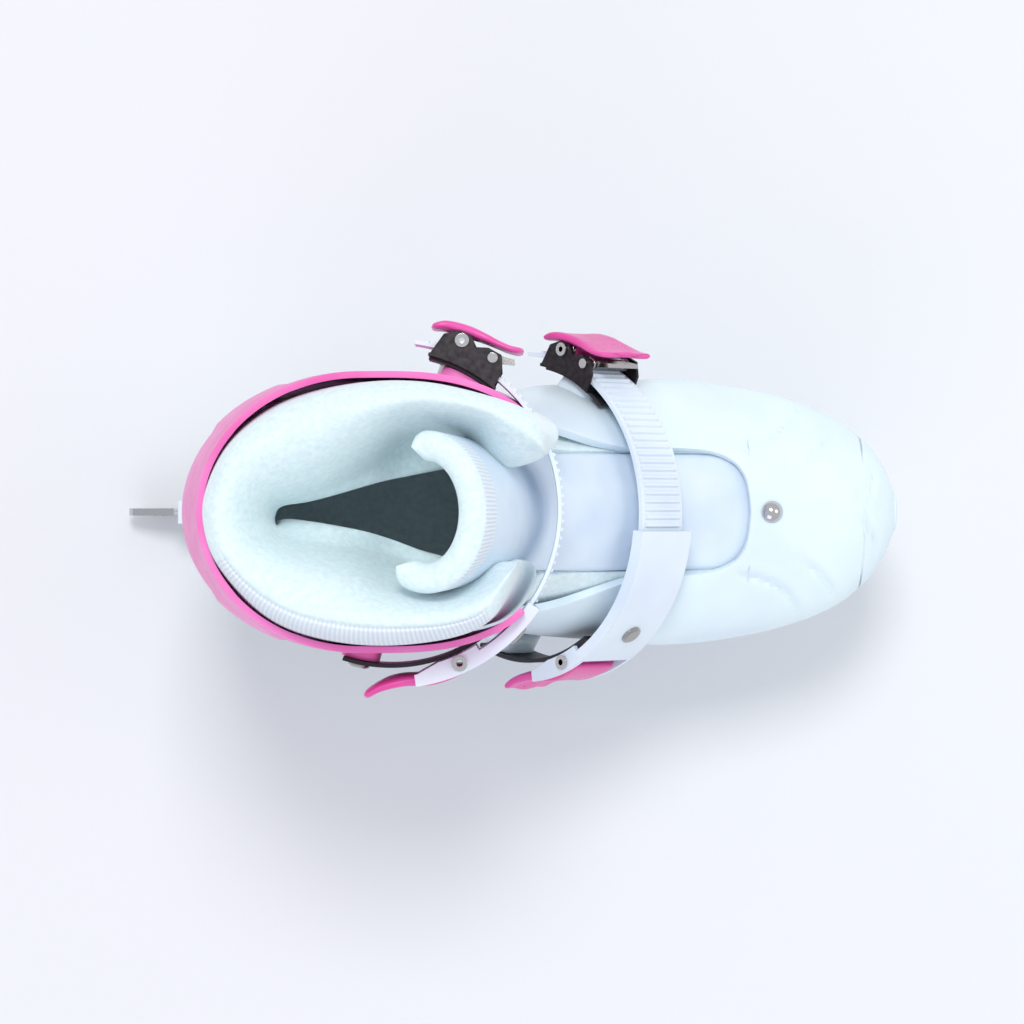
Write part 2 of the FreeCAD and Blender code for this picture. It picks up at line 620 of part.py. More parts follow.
holder = new_body("blade_holder")
under_seat = "(sole_height - seat_thick + 1)"
side = [("-holder_tail", "rail_bottom + 3"), ("-holder_tail + 3", "rail_bottom"), ("holder_front - 6", "rail_bottom"),
        ("holder_front", "rail_bottom + 6"), ("holder_front - 1", "rail_top - 3"), ("holder_front - 12", "rail_top + 5"),
        ("holder_front - 17", under_seat), ("34", under_seat), ("44", "rail_top + 12"), ("34", "rail_top"),
        ("-44", "rail_top"), ("-56", "rail_top + 11"), ("-48", under_seat), ("-holder_tail + 37", under_seat),
        ("-holder_tail + 38", "rail_top + 10"), ("-holder_tail + 22", "rail_top"), ("-holder_tail", "rail_top - 3")]
add_pad(holder, "XZ_Plane", "holder_thick", [side])
seats = [rectangle("24", "112", "-seat_width / 2", "seat_width / 2"),
         rectangle("-104", "-38", "-seat_width / 2 + 1", "seat_width / 2 - 1")]
add_pad(holder, "XY_Plane", "seat_thick", seats, shift="sole_height - seat_thick / 2")
slot = rectangle("-holder_tail - 1", "holder_front + 1", "rail_bottom - 1", "blade_top + 0.05")
add_pad(holder, "XZ_Plane", "blade_thick + 0.06", [slot], cut=True)
add_pad(holder, "XZ_Plane", "holder_thick * 2", circles=rivet_holes, cut=True)
SCREW_SPOTS = [(x, y) for x in (34, 88, -80, -50) for y in (-12, 12)]
screw_holes = [(x, y, "screw_radius + 0.1") for x, y in SCREW_SPOTS]
add_pad(holder, "XY_Plane", "seat_thick * 4", circles=screw_holes, shift="sole_height", cut=True)
upright = along(Vector(0, 0, 1))
soften(holder, "10", lambda e: upright(e) and abs(e.CenterOfMass.y) > size("seat_width / 2 - 2"))
sideways = along(Vector(0, 1, 0))
soften(holder, "5", lambda e: sideways(e) and abs(e.CenterOfMass.x) < 60
       and size("rail_top") - 1 < e.CenterOfMass.z < size("rail_top") + 14)


def across_y(x, z):
    return Placement(Vector(x, 0, z), Rotation(Vector(1, 0, 0), 90))


half_rail = "(holder_thick / 2 + 1.2)"
rivets = []
for x in RIVET_SPOTS:
    shaft = rod(size("blade_rivet_radius"), Vector(x, -size(half_rail), size(rivet_height)),
                Vector(x, size(half_rail), size(rivet_height)))
    for way in (-1, 1):
        head = rod(3.6, Vector(x, way * size("holder_thick / 2 + 0.02"), size(rivet_height)),
                   Vector(x, way * size(half_rail), size(rivet_height)))
        shaft = shaft.fuse(head)
    rivets.append(shaft.removeSplitter())
add_solid("blade_rivets", Part.makeCompound(rivets))

seat_low = size("sole_height - seat_thick")
wall_in = size("sole_height + shell_wall")
screws = []
nuts = []
for x, y in SCREW_SPOTS:
    foot = Vector(x, y, seat_low)
    head = rod(size("screw_head_radius"), foot - Vector(0, 0, 2.2), foot - Vector(0, 0, 0.02))
    screws.append(rod(size("screw_radius"), foot - Vector(0, 0, 1), Vector(x, y, wall_in + 1)).fuse(head))
    barrel = rod(3.2, Vector(x, y, wall_in - 2.8), Vector(x, y, wall_in + 3.2))
    flange = rod(5, Vector(x, y, wall_in + 2.2), Vector(x, y, wall_in + 3.2))
    bore = rod(size("screw_radius") + 0.02, Vector(x, y, wall_in - 5), Vector(x, y, wall_in + 5))
    nuts.append(barrel.fuse(flange).cut(bore))
add_solid("holder_screws", Part.makeCompound(screws))
add_solid("holder_tnuts", Part.makeCompound(nuts))


# ---------------------------------------------------------------- hard shell, cuff and their hinge

wall = size("shell_wall")
outer = form(0)
hollow = form(-wall, 12)
pads = [Part.makeBox(88, size("seat_width"), 9, Vector(24, -size("seat_width") / 2, size("sole_height"))),
        Part.makeBox(60, size("seat_width") - 2, 9, Vector(-98, 1 - size("seat_width") / 2, size("sole_height")))]
bosses, boss_holes = strap_bosses(*straps["instep"])
shell = outer.fuse(pads + bosses).cut(hollow)
shell = shell.cut(throat(size("throat_width / 2"), size("throat_front"), size("sole_height") + 42))
shell = shell.common(foot_zone(size("flex_cylinder") - 6, size("flex_ray") - 2))


def side_at(shape, spot, way):
    """How far out a shape's surface is, sideways from a point."""
    line = Part.makeLine(spot, spot + Vector(0, way * FAR, 0)).common(shape)
    return max(abs(vertex.Y) for vertex in line.Vertexes)


pivot = size("ankle_rivet_radius")
gap = size("cuff_gap")
cuff_out = gap + size("cuff_wall")
cuff_outer = form(cuff_out)
rivets = []
washers = []
pockets = []
for way in (-1, 1):
    half = side_at(outer, ankle, way)
    levels = [half - wall - 1.6, half - wall - 0.4, half + cuff_out + 0.4, half + cuff_out + 2.2]
    at = [ankle + Vector(0, way * level, 0) for level in levels]
    shaft = rod(pivot, at[0], at[3])
    rivets.append(shaft.fuse([rod(pivot + 2.5, at[0], at[1]), rod(size("ankle_head_radius"), at[2], at[3])]))
    ring = rod(pivot + 2.5, ankle + Vector(0, way * (half + 0.3), 0), ankle + Vector(0, way * (half + gap - 0.4), 0))
    washers.append(ring.cut(rod(pivot + 0.1, ankle, ankle + Vector(0, way * FAR, 0))))
    pockets.append(rod(pivot + 4, ankle, at[1] + Vector(0, way, 0)))
pivot_hole = rod(pivot + 0.06, ankle - Vector(0, FAR, 0), ankle + Vector(0, FAR, 0))
shell = shell.cut([pivot_hole, leaf_seat(*straps["instep"])] + boss_holes)
nut_holes = [rod(3.26, Vector(x, y, wall_in - 8), Vector(x, y, wall_in + 3)) for x, y in SCREW_SPOTS]
shell = shell.cut(nut_holes)
toe_spot = front_line(0.32)
toe_up = Vector(0.2, 0, 1).normalize()
shell = shell.cut(rod(size("toe_rivet_radius") + 0.05, toe_spot - toe_up * 8, toe_spot + toe_up * 8))
add_solid("lower_shell", shell)
add_solid("ankle_rivets", Part.makeCompound(rivets))
add_solid("ankle_washers", Part.makeCompound(washers))

dome = size("toe_dome_radius")
high = size("toe_dome_height")
ball = (dome ** 2 + high ** 2) / (2 * high)
foot = toe_spot + toe_up * 0.2
cap = Part.makeSphere(ball, foot + toe_up * (high - ball))
cap = cap.common(rod(dome + 1, foot, foot + toe_up * 10))
tail = rod(size("toe_rivet_radius"), foot - toe_up * (wall + 1.9), foot + toe_up)
add_solid("toe_rivet", cap.fuse(tail))
ring = rod(4, foot - toe_up * (wall + 1.5), foot - toe_up * (wall + 0.6))
add_solid("toe_rivet_washer", ring.cut(rod(size("toe_rivet_radius") + 0.03, toe_spot - toe_up * 20, toe_spot)))

sole = size("sole_height")
rise = size("boot_height")
length = size("toe_reach + heel_reach")
back = -size("heel_reach") - 12
cuff_line = [(back, sole + 0.25 * rise), (back + 0.2 * length, sole + 0.27 * rise), (ankle.x + 14, ankle.z - 20),
             (ankle.x + 32, ankle.z - 2), (3, sole + 0.665 * rise), (4, sole + 0.84 * rise),
             (-18, sole + 0.89 * rise), (ankle.x, sole + 0.93 * rise), (back + 0.12 * length, sole + 0.975 * rise),
             (back, sole + 0.985 * rise)]
bosses, boss_holes = strap_bosses(*straps["cuff"])
cuff = cuff_outer.fuse(bosses).cut(form(gap, 12))
cuff = cuff.common(prism(cuff_line, FAR)).cut([pivot_hole, leaf_seat(*straps["cuff"])] + boss_holes)
flex = size("cuff_flex")
ray = size("flex_ray")
covered = form(0.35).common(foot_zone(size("flex_cylinder") - 6, ray - 2))
for share in (1, 0.6, 0.3, -0.4):
    swept = covered.copy()
    swept.rotate(ankle, Vector(0, 1, 0), -flex * share)
    cuff = cuff.cut(swept)
cuff = max(cuff.Solids, key=lambda solid: solid.Volume)
add_solid("cuff", cuff)


# ---------------------------------------------------------------- soft parts

drum = size("flex_cylinder")
soft_out = -wall - size("liner_gap")
soft_in = soft_out - size("foot_padding")
bed_top = sole + wall + 3.4 + size("footbed_thick")
slab = Part.makeBox(2 * FAR, 2 * FAR, size("footbed_thick"), Vector(-FAR, -FAR, bed_top - size("footbed_thick")))
add_solid("footbed", form(soft_out - 0.3, 12).common(slab))
below = Part.makeBox(2 * FAR, 2 * FAR, bed_top + 0.3 + FAR, Vector(-FAR, -FAR, -FAR))
foot_tube = form(soft_out, 6).cut(form(soft_in, 12)).cut(below)
toe_pocket = rod(5, toe_spot - toe_up * (wall + 2.5), toe_spot)
liner = foot_tube.common(foot_zone(drum, ray))
liner = liner.cut(throat(size("throat_width / 2"), size("throat_front") - 4, sole + 42))
add_solid("liner_foot", liner.cut(pockets + [toe_pocket]))
tongue_zone = throat(size("throat_width / 2") - 0.6, size("throat_front") - 4.6, sole + 42.6)
add_solid("tongue_lower", foot_tube.common(foot_zone(drum, ray)).common(tongue_zone))

top = sole + rise + size("collar_rise")
above = Part.makeBox(2 * FAR, 2 * FAR, FAR, Vector(-FAR, -FAR, top))
keep_out = foot_zone(drum + 0.6, ray + flex + 2)
collar = form(-0.3, 20).cut(form(-0.3 - size("collar_padding"), 30))
opening = Part.makeBox(FAR, 48, FAR, Vector(-24, -24, 0))
add_solid("liner_collar", collar.cut([above, keep_out, opening]))


def roll(inset):
    """A leaning oval column; the tongue is its front wall."""
    low = Part.Ellipse(Vector(-24, 0, sole + 0.64 * rise), 33 - inset, 22 - inset)
    high = Part.Ellipse(Vector(-42, 0, top + 3), 31 - inset, 25 - inset)
    return Part.makeLoft([Part.Wire(low.toShape()), Part.Wire(high.toShape())], True, True)


front_half = prism([(-30, 0), (FAR, 0), (FAR, FAR), (-48, FAR), (-44, top)], FAR)
add_solid("tongue_upper", roll(0).cut(roll(9)).common(front_half).cut(keep_out))


# ---------------------------------------------------------------- checks and export

doc.recompute()
broken = [o.Name for o in doc.Objects if "Invalid" in o.State or "Error" in o.State]
broken += [p.Label for p in pieces if p.Shape.isNull() or not p.Shape.isValid() or p.Shape.Volume <= 0]
if broken:
    raise RuntimeError("these objects failed: " + ", ".join(broken))
os.makedirs("parts", exist_ok=True)
for piece in pieces:
    piece.Shape.exportStep(f"parts/{piece.Label}.step")
    box = piece.Shape.BoundBox
    print(f"{piece.Label:26s} {len(piece.Shape.Solids)} solids {piece.Shape.Volume / 1000:8.2f} cm3  "
          f"X {box.XMin:7.1f} {box.XMax:7.1f}  Y {box.YMin:7.1f} {box.YMax:7.1f}  Z {box.ZMin:6.1f} {box.ZMax:6.1f}")
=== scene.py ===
import json
import math
import bmesh
import bpy
import numpy as np
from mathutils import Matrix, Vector


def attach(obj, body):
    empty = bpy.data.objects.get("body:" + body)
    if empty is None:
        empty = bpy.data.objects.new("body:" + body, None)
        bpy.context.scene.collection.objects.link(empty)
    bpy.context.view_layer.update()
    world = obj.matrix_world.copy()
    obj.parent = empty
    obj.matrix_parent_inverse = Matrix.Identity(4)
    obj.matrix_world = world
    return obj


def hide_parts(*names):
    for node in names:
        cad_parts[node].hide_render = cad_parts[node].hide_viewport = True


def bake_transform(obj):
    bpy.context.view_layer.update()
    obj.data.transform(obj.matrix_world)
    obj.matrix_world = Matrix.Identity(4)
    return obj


# A left ice skate seen from straight above: +X to the toe, +Y to the outer side, +Z up.
# Lengths are in millimetres here and become metres when a mesh is made.

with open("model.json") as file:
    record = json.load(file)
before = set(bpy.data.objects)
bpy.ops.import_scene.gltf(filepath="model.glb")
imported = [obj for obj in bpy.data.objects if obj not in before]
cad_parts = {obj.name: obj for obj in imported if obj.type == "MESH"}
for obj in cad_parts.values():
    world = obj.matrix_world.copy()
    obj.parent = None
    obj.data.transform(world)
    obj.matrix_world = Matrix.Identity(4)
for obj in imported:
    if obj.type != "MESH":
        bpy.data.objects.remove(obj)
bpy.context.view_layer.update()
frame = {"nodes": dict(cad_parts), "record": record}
nodes = frame["nodes"]

print("camera, light and floor")

studio = {
    "cameraHeight": 1650, "fieldOfView": 14.96,
    "floorSide": 6000, "floorDrop": 0.05, "floorColour": "#e9ebee", "skyColour": "#fafbff", "skyStrength": 0.72,
}


def toLinear(hexText):
    # sRGB hex to the linear numbers that Blender works in
    parts = [int(hexText[k:k + 2], 16) / 255 for k in (1, 3, 5)]
    return tuple(c / 12.92 if c <= 0.04045 else ((c + 0.055) / 1.055) ** 2.4 for c in parts) + (1.0,)


cameraData = bpy.data.cameras.new("camera")
cameraData.angle = math.radians(studio["fieldOfView"])
cameraData.clip_end = 20
camera = bpy.data.objects.new("camera", cameraData)
camera.location = (0, 0, studio["cameraHeight"] / 1000)
bpy.context.scene.collection.objects.link(camera)
bpy.context.scene.camera = camera
bpy.context.scene.view_settings.view_transform = "Standard"
bpy.context.scene.view_settings.look = "None"

world = bpy.data.worlds.new("studio")
world.use_nodes = True
world.node_tree.nodes["Background"].inputs["Color"].default_value = toLinear(studio["skyColour"])
world.node_tree.nodes["Background"].inputs["Strength"].default_value = studio["skyStrength"]
bpy.context.scene.world = world

lamps = [  # name, place in metres, side in metres, watts, colour
    ("softboxBehind", (-0.05, 1.30, 3.20), 0.85, 43.0, "#ffffff"),
    ("softboxToe", (1.50, 0.20, 1.30), 0.8, 3.4, "#f4fbff"),
    ("fillFront", (-0.45, -1.50, 1.30), 1.2, 5.0, "#e9edff"),
]
for name, place, side, watts, colour in lamps:
    light = bpy.data.lights.new(name, "AREA")
    light.size = side
    light.energy = watts
    light.color = toLinear(colour)[:3]
    lamp = bpy.data.objects.new(name, light)
    lamp.location = place
    lamp.rotation_euler = (Vector((0, 0, 0.1)) - Vector(place)).to_track_quat("-Z", "Y").to_euler()
    bpy.context.scene.collection.objects.link(lamp)

print("materials")


def addNode(tree, kind, links=None, values=None, **settings):
    # one node: its settings, the values of its sockets, and links from other nodes' sockets
    node = tree.nodes.new("ShaderNode" + kind)
    for key, value in settings.items():
        setattr(node, key, value)
    for key, value in (values or {}).items():
        node.inputs[key].default_value = value
    for key, source in (links or {}).items():
        tree.links.new(source, node.inputs[key])
    return node


def newMaterial(name, recipe):
    # a principled material from its recipe: values for the shader's own sockets, noises in Object coordinates
    # (spot size in mm, detail, stretch, seed), and which field gives its tones, its gloss and each layer of relief
    material = bpy.data.materials.new(name)
    material.use_nodes = True
    tree = material.node_tree
    shader = tree.nodes["Principled BSDF"]
    for socket, value in recipe["sockets"].items():
        shader.inputs[socket].default_value = value
    place = addNode(tree, "TexCoord").outputs["Object"]
    fields = {}
    for key, (size, detail, stretch, seed) in recipe.get("noises", {}).items():
        scaled = addNode(tree, "Mapping", {"Vector": place}, {"Scale": [1000 * k / size for k in stretch],
                                                             "Location": (seed, seed, seed)})
        fields[key] = addNode(tree, "TexNoise", {"Vector": scaled.outputs["Vector"]},
                              {"Scale": 1.0, "Detail": detail, "Roughness": 0.55}).outputs["Fac"]
    if "weave" in recipe:
        fields["weave"] = recipe["weave"](tree, place)
    if "tones" in recipe:
        source, dark, light, low, high = recipe["tones"]
        ramp = addNode(tree, "ValToRGB", {"Fac": fields[source]})
        for stop, position, colour in zip(ramp.color_ramp.elements, (low, high), (dark, light)):
            stop.position = position
            stop.color = toLinear(colour)
        tree.links.new(ramp.outputs["Color"], shader.inputs["Base Color"])
    if "gloss" in recipe:
        source, least, most = recipe["gloss"]
        scaled = addNode(tree, "MapRange", {"Value": fields[source]},
                         {"From Min": 0.3, "From Max": 0.7, "To Min": least, "To Max": most})
        tree.links.new(scaled.outputs["Result"], shader.inputs["Roughness"])
    normal = None
    if recipe.get("rounded"):
        normal = addNode(tree, "Bevel", values={"Radius": recipe["rounded"] / 1000}, samples=4).outputs["Normal"]
    for source, strength, depth in recipe["relief"]:
        links = {"Height": fields[source]}
        if normal is not None:
            links["Normal"] = normal
        normal = addNode(tree, "Bump", links, {"Strength": strength, "Distance": depth / 1000}).outputs["Normal"]
    tree.links.new(normal, shader.inputs["Normal"])
    return material


evenly = (1, 1, 1)


def mouldedPlastic(name, dark, light, roughness, rounded=0.0, soft=0.0):
    # injection-moulded plastic: slight flow shading, and the fine satin skin of a spark-eroded mould, drawn coarse
    sockets = {"Base Color": toLinear(light), "Roughness": roughness, "Specular IOR Level": 0.5, "IOR": 1.49}
    if soft:
        sockets.update({"Subsurface Weight": soft, "Subsurface Radius": (0.004, 0.004, 0.005), "Subsurface Scale": 1.0})
    return newMaterial(name, {
        "sockets": sockets, "rounded": rounded,
        "noises": {"flow": (38, 2.0, evenly, 3.0), "wear": (9, 3.0, evenly, 7.0), "skin": (0.9, 2.0, evenly, 0.0)},
        "tones": ("flow", dark, light, 0.3, 0.7), "gloss": ("wear", roughness - 0.05, roughness + 0.06),
        "relief": [("skin", 0.10, 0.03)]})


def smoothMetal(name, colour, roughness, along=None, rounded=0.25):
    # metal: plated and tumbled, or ground in one direction with fine lines along it
    return newMaterial(name, {
        "sockets": {"Base Color": toLinear(colour), "Roughness": roughness, "Metallic": 1.0}, "rounded": rounded,
        "noises": {"lines": (0.5, 4.0, along or evenly, 0.0)}, "gloss": ("lines", roughness - 0.05, roughness + 0.10),
        "relief": [("lines", 0.12 if along else 0.05, 0.02)]})


def fleece(name, shade, lit, pileSize, pileDepth, sheen=0.45):
    # brushed polyester plush: a short pile that scatters light at the edges, in soft tufts
    return newMaterial(name, {
        "sockets": {"Base Color": toLinear(lit), "Roughness": 0.95, "Sheen Weight": sheen, "Sheen Roughness": 0.45,
                    "Sheen Tint": toLinear("#ffffff"), "Specular IOR Level": 0.15, "Subsurface Weight": 0.12,
                    "Subsurface Radius": (0.005, 0.0055, 0.006), "Subsurface Scale": 1.0},
        "noises": {"tone": (2.2, 4.0, evenly, 1.0), "tufts": (4.5, 2.0, evenly, 4.0), "pile": (pileSize, 3.0, evenly, 0.0)},
        "tones": ("tone", shade, lit, 0.3, 0.7), "relief": [("tufts", 0.22, 0.4), ("pile", 0.6, pileDepth)]})


def knitRibs(tree, place):
    # ribs 1.6 mm apart that follow the cloth, which the UV map gives
    across = addNode(tree, "SeparateXYZ", {"Vector": addNode(tree, "UVMap").outputs["UV"]}).outputs["X"]
    turns = addNode(tree, "Math", {0: across}, {1: 2 * math.pi * 1000 / 1.6}, operation="MULTIPLY")
    wave = addNode(tree, "Math", {0: turns.outputs[0]}, operation="SINE")
    return addNode(tree, "MapRange", {"Value": wave.outputs[0]}, {"From Min": -1.0, "From Max": 1.0}).outputs["Result"]


def crossedThreads(tree, place):
    # fine threads both ways, about 0.9 mm apart so that they show
    scale = 1000 / 0.9 / (2 * math.pi) * 0.31
    threads = [addNode(tree, "TexWave", {"Vector": place}, {"Scale": scale, "Distortion": 0.6},
                       wave_type="BANDS", bands_direction=axis).outputs["Fac"] for axis in ("X", "Y")]
    return addNode(tree, "Math", {0: threads[0], 1: threads[1]}, operation="MULTIPLY").outputs[0]


whiteShellPlastic = mouldedPlastic("whiteMouldedPolypropylene", "#dfeefa", "#e9fafe", 0.36, soft=0.06)
whiteHolderPlastic = mouldedPlastic("whiteMouldedNylon", "#dde8f4", "#edf5fb", 0.42, rounded=0.9)
whiteStrapPlastic = mouldedPlastic("whiteMouldedUrethane", "#dee9f8", "#ebf6fe", 0.34, rounded=0.35, soft=0.05)
pinkCuffPlastic = mouldedPlastic("pinkMouldedPolypropylene", "#ee64b4", "#f686cc", 0.38)
pinkLeverPlastic = mouldedPlastic("pinkMouldedAcetal", "#df3f9a", "#ee5cb0", 0.30)
blackStrapPlastic = mouldedPlastic("blackMouldedUrethane", "#15161b", "#24262e", 0.45, rounded=0.35)
groundBladeSteel = smoothMetal("groundCarbonSteel", "#b9bcc0", 0.26, (0.02, 1, 1))
nickelPlate = smoothMetal("nickelPlatedBrass", "#cccccc", 0.13)
zincScrewSteel = smoothMetal("zincPlatedSteel", "#a9a8a6", 0.28)
springWire = smoothMetal("drawnSpringSteel", "#bdbbb8", 0.22, rounded=0.05)
whitePlush = fleece("whitePolyesterPlush", "#dceef3", "#ebfcfe", 0.9, 0.45)
# the footbed is coloured nearly black and has no sheen: painted shade for the deep inside of the boot, which the lamps
# would otherwise light
paintedShadeFootbed = fleece("paintedShadeNeedleFelt", "#08090b", "#111316", 0.7, 0.3, 0.0)
# pressed steel with black zinc: dark, with lighter worn edges
blackPressedSteel = newMaterial("blackZincPressedSteel", {
    "sockets": {"Base Color": toLinear("#353235"), "Roughness": 0.34, "Metallic": 0.85}, "rounded": 0.4,
    "noises": {"worn": (2.2, 5.0, evenly, 5.0)}, "tones": ("worn", "#2b282b", "#464346", 0.3, 0.8),
    "gloss": ("worn", 0.30, 0.46), "relief": [("worn", 0.15, 0.04)]})
# rib-knitted edging: matt, hairy between the ribs, with the grooves between the ribs tinted darker as painted shade
whiteRibKnit = newMaterial("whiteRibKnit", {
    "sockets": {"Base Color": toLinear("#eef7fd"), "Roughness": 0.9, "Sheen Weight": 0.3, "Sheen Roughness": 0.5,
                "Specular IOR Level": 0.2},
    "weave": knitRibs, "noises": {"hair": (0.8, 2.0, evenly, 0.0)}, "tones": ("weave", "#dce6f4", "#eef7fd", 0.0, 0.8),
    "relief": [("weave", 0.9, 0.28), ("hair", 0.25, 0.15)]})
# smooth woven lining: a faint lustre and soft blotches
tongueLining = newMaterial("smoothWovenLining", {
    "sockets": {"Base Color": toLinear("#e2effb"), "Roughness": 0.62, "Sheen Weight": 0.15},
    "weave": crossedThreads, "noises": {"blotch": (24, 2.0, evenly, 9.0)},
    "tones": ("blotch", "#d3e2f4", "#e2effb", 0.3, 0.7), "relief": [("weave", 0.18, 0.10)]})
# matt backdrop paper
floorMaterial = newMaterial("mattPaperFloor", {
    "sockets": {"Base Color": toLinear(studio["floorColour"]), "Roughness": 0.9, "Specular IOR Level": 0.1},
    "noises": {"pulp": (4, 2.0, evenly, 0.0)}, "relief": [("pulp", 0.05, 0.1)]})

print("boot form")

# Where the front line (X, Z), the back line (X, Z) and the half width go, from the toe to the cuff's top,
# and how square each section is at its front and its back
bootRows = {
    "front": [(0, .172), (.013, .214), (.040, .253), (.091, .289), (.167, .315), (.250, .339), (.315, .385), (.373, .463),
              (.424, .552), (.464, .620), (.498, .688), (.509, .719), (.518, .752), (.525, .797), (.533, .849),
              (.540, .906), (.545, .964), (.551, 1.021), (.558, 1.1)],
    "back": [(.001, .120), (.020, .073), (.049, .039), (.100, .013), (.178, 0), (.264, 0), (.366, 0), (.482, 0),
             (.609, 0), (.754, 0), (.915, .006), (.958, .048), (.985, .130), (1.0, .260), (1.002, .427),
             (.993, .635), (.972, .823), (.950, 1.0), (.941, 1.094)],
    "half": [.15, .35, .54, .735, .880, .965, 1.0, .965, .910, .860, .865, .865, .869, .878, .892, .897, .897, .874, .856],
    "squareFront": [2.1, 2.1, 2.2, 2.2, 2.2, 2.2, 2.0, 1.95, 2.0, 2.2, 2.5, 2.55, 2.6, 2.6, 2.6, 2.6, 2.6, 2.6, 2.6],
    "squareBack": [2.2, 2.3, 2.6, 3.0, 3.2, 3.2, 3.2, 3.2, 3.2, 3.0, 2.7, 2.5, 2.3, 2.1, 2.0, 2.0, 2.0, 2.0, 2.0],
    "toeReach": 153, "length": 276, "soleHeight": 58, "rise": 192, "ballHalf": 53, "toeBulge": 1.5,
}
formTable = np.column_stack([
    bootRows["toeReach"] - bootRows["length"] * np.array(bootRows["front"])[:, 0],
    bootRows["soleHeight"] + bootRows["rise"] * np.array(bootRows["front"])[:, 1],
    bootRows["toeReach"] - bootRows["length"] * np.array(bootRows["back"])[:, 0],
    bootRows["soleHeight"] + bootRows["rise"] * np.array(bootRows["back"])[:, 1],
    bootRows["ballHalf"] * np.array(bootRows["half"]), bootRows["squareFront"], bootRows["squareBack"]])
ankle = np.array((-62.0, 128.0))


def flowing(table, s):
    # a smooth curve through the table's rows (Catmull-Rom); s counts rows
    table = np.asarray(table, float)
    s = np.clip(np.asarray(s, float), 0, len(table) - 1)
    k = np.minimum(s.astype(int), len(table) - 2)
    t = (s - k)[..., None]
    a, b, c, d = (table[np.clip(k + n, 0, len(table) - 1)] for n in (-1, 0, 1, 2))
    return 0.5 * (2 * b + (c - a) * t + (2 * a - 5 * b + 4 * c - d) * t ** 2 + (3 * b - a - 3 * c + d) * t ** 3)


def boot(s, a, grow=0.0, squarer=0.0, forward=0.0):
    # a point on the boot form: half way between front and back line, plus a superellipse of angle a (degrees,
    # 90 at the front line, 0 at the outer side, -90 at the back or sole) in the plane of both lines and Y
    s, a, grow, squarer, forward = np.broadcast_arrays(*(np.asarray(v, float) for v in (s, a, grow, squarer, forward)))
    row = flowing(formTable, s)
    cap = np.clip(-s, 0, 1)
    shrink = np.sqrt(np.maximum(1 - cap ** 2, 0))
    dx, dz = row[..., 0] - row[..., 2], row[..., 1] - row[..., 3]
    far = np.hypot(dx, dz)
    sine, cosine = np.sin(np.radians(a)), np.cos(np.radians(a))
    square = np.where(sine > 0, row[..., 5] + squarer, row[..., 6])
    reach = (far / 2 + grow + np.where(sine > 0, forward, 0)) * shrink
    up = np.sign(sine) * np.abs(sine) ** (2 / square) * reach
    out = np.sign(cosine) * np.abs(cosine) ** (2 / square) * (row[..., 4] + grow) * shrink
    shift = grow * np.maximum(0, 1 - 0.4 * np.maximum(s, 0)) + bootRows["toeBulge"] * cap
    x = (row[..., 0] + row[..., 2]) / 2 + dx / far * up + shift
    z = (row[..., 1] + row[..., 3]) / 2 + dz / far * up
    return np.stack([x, out, z], axis=-1)


def rowAtHeight(z, a, grow=0.0, squarer=0.0, forward=0.0):
    # the row at which the form reaches a height on the line of angle a, by halving
    low, high = np.full(np.shape(z), 5.0), np.full(np.shape(z), 18.0)
    for halving in range(26):
        middle = (low + high) / 2
        under = boot(middle, a, grow, squarer, forward)[..., 2] < z
        low, high = np.where(under, middle, low), np.where(under, high, middle)
    return (low + high) / 2


def ease(x):
    x = np.clip(x, 0, 1)
    return x * x * (3 - 2 * x)


def alongLine(spots, points):
    # signed distance from each point to a run of spots in the XY plane, left of the run being positive
    best = np.full(points.shape[:-1], 1e9)
    side = np.ones(points.shape[:-1])
    for (ax, ay), (bx, by) in zip(spots[:-1], spots[1:]):
        dx, dy = bx - ax, by - ay
        px, py = points[..., 0] - ax, points[..., 1] - ay
        t = np.clip((px * dx + py * dy) / (dx * dx + dy * dy), 0, 1)
        gap = np.hypot(px - t * dx, py - t * dy)
        closer = gap < best
        best = np.where(closer, gap, best)
        side = np.where(closer, np.sign(dx * py - dy * px + 1e-12), side)
    return best * side


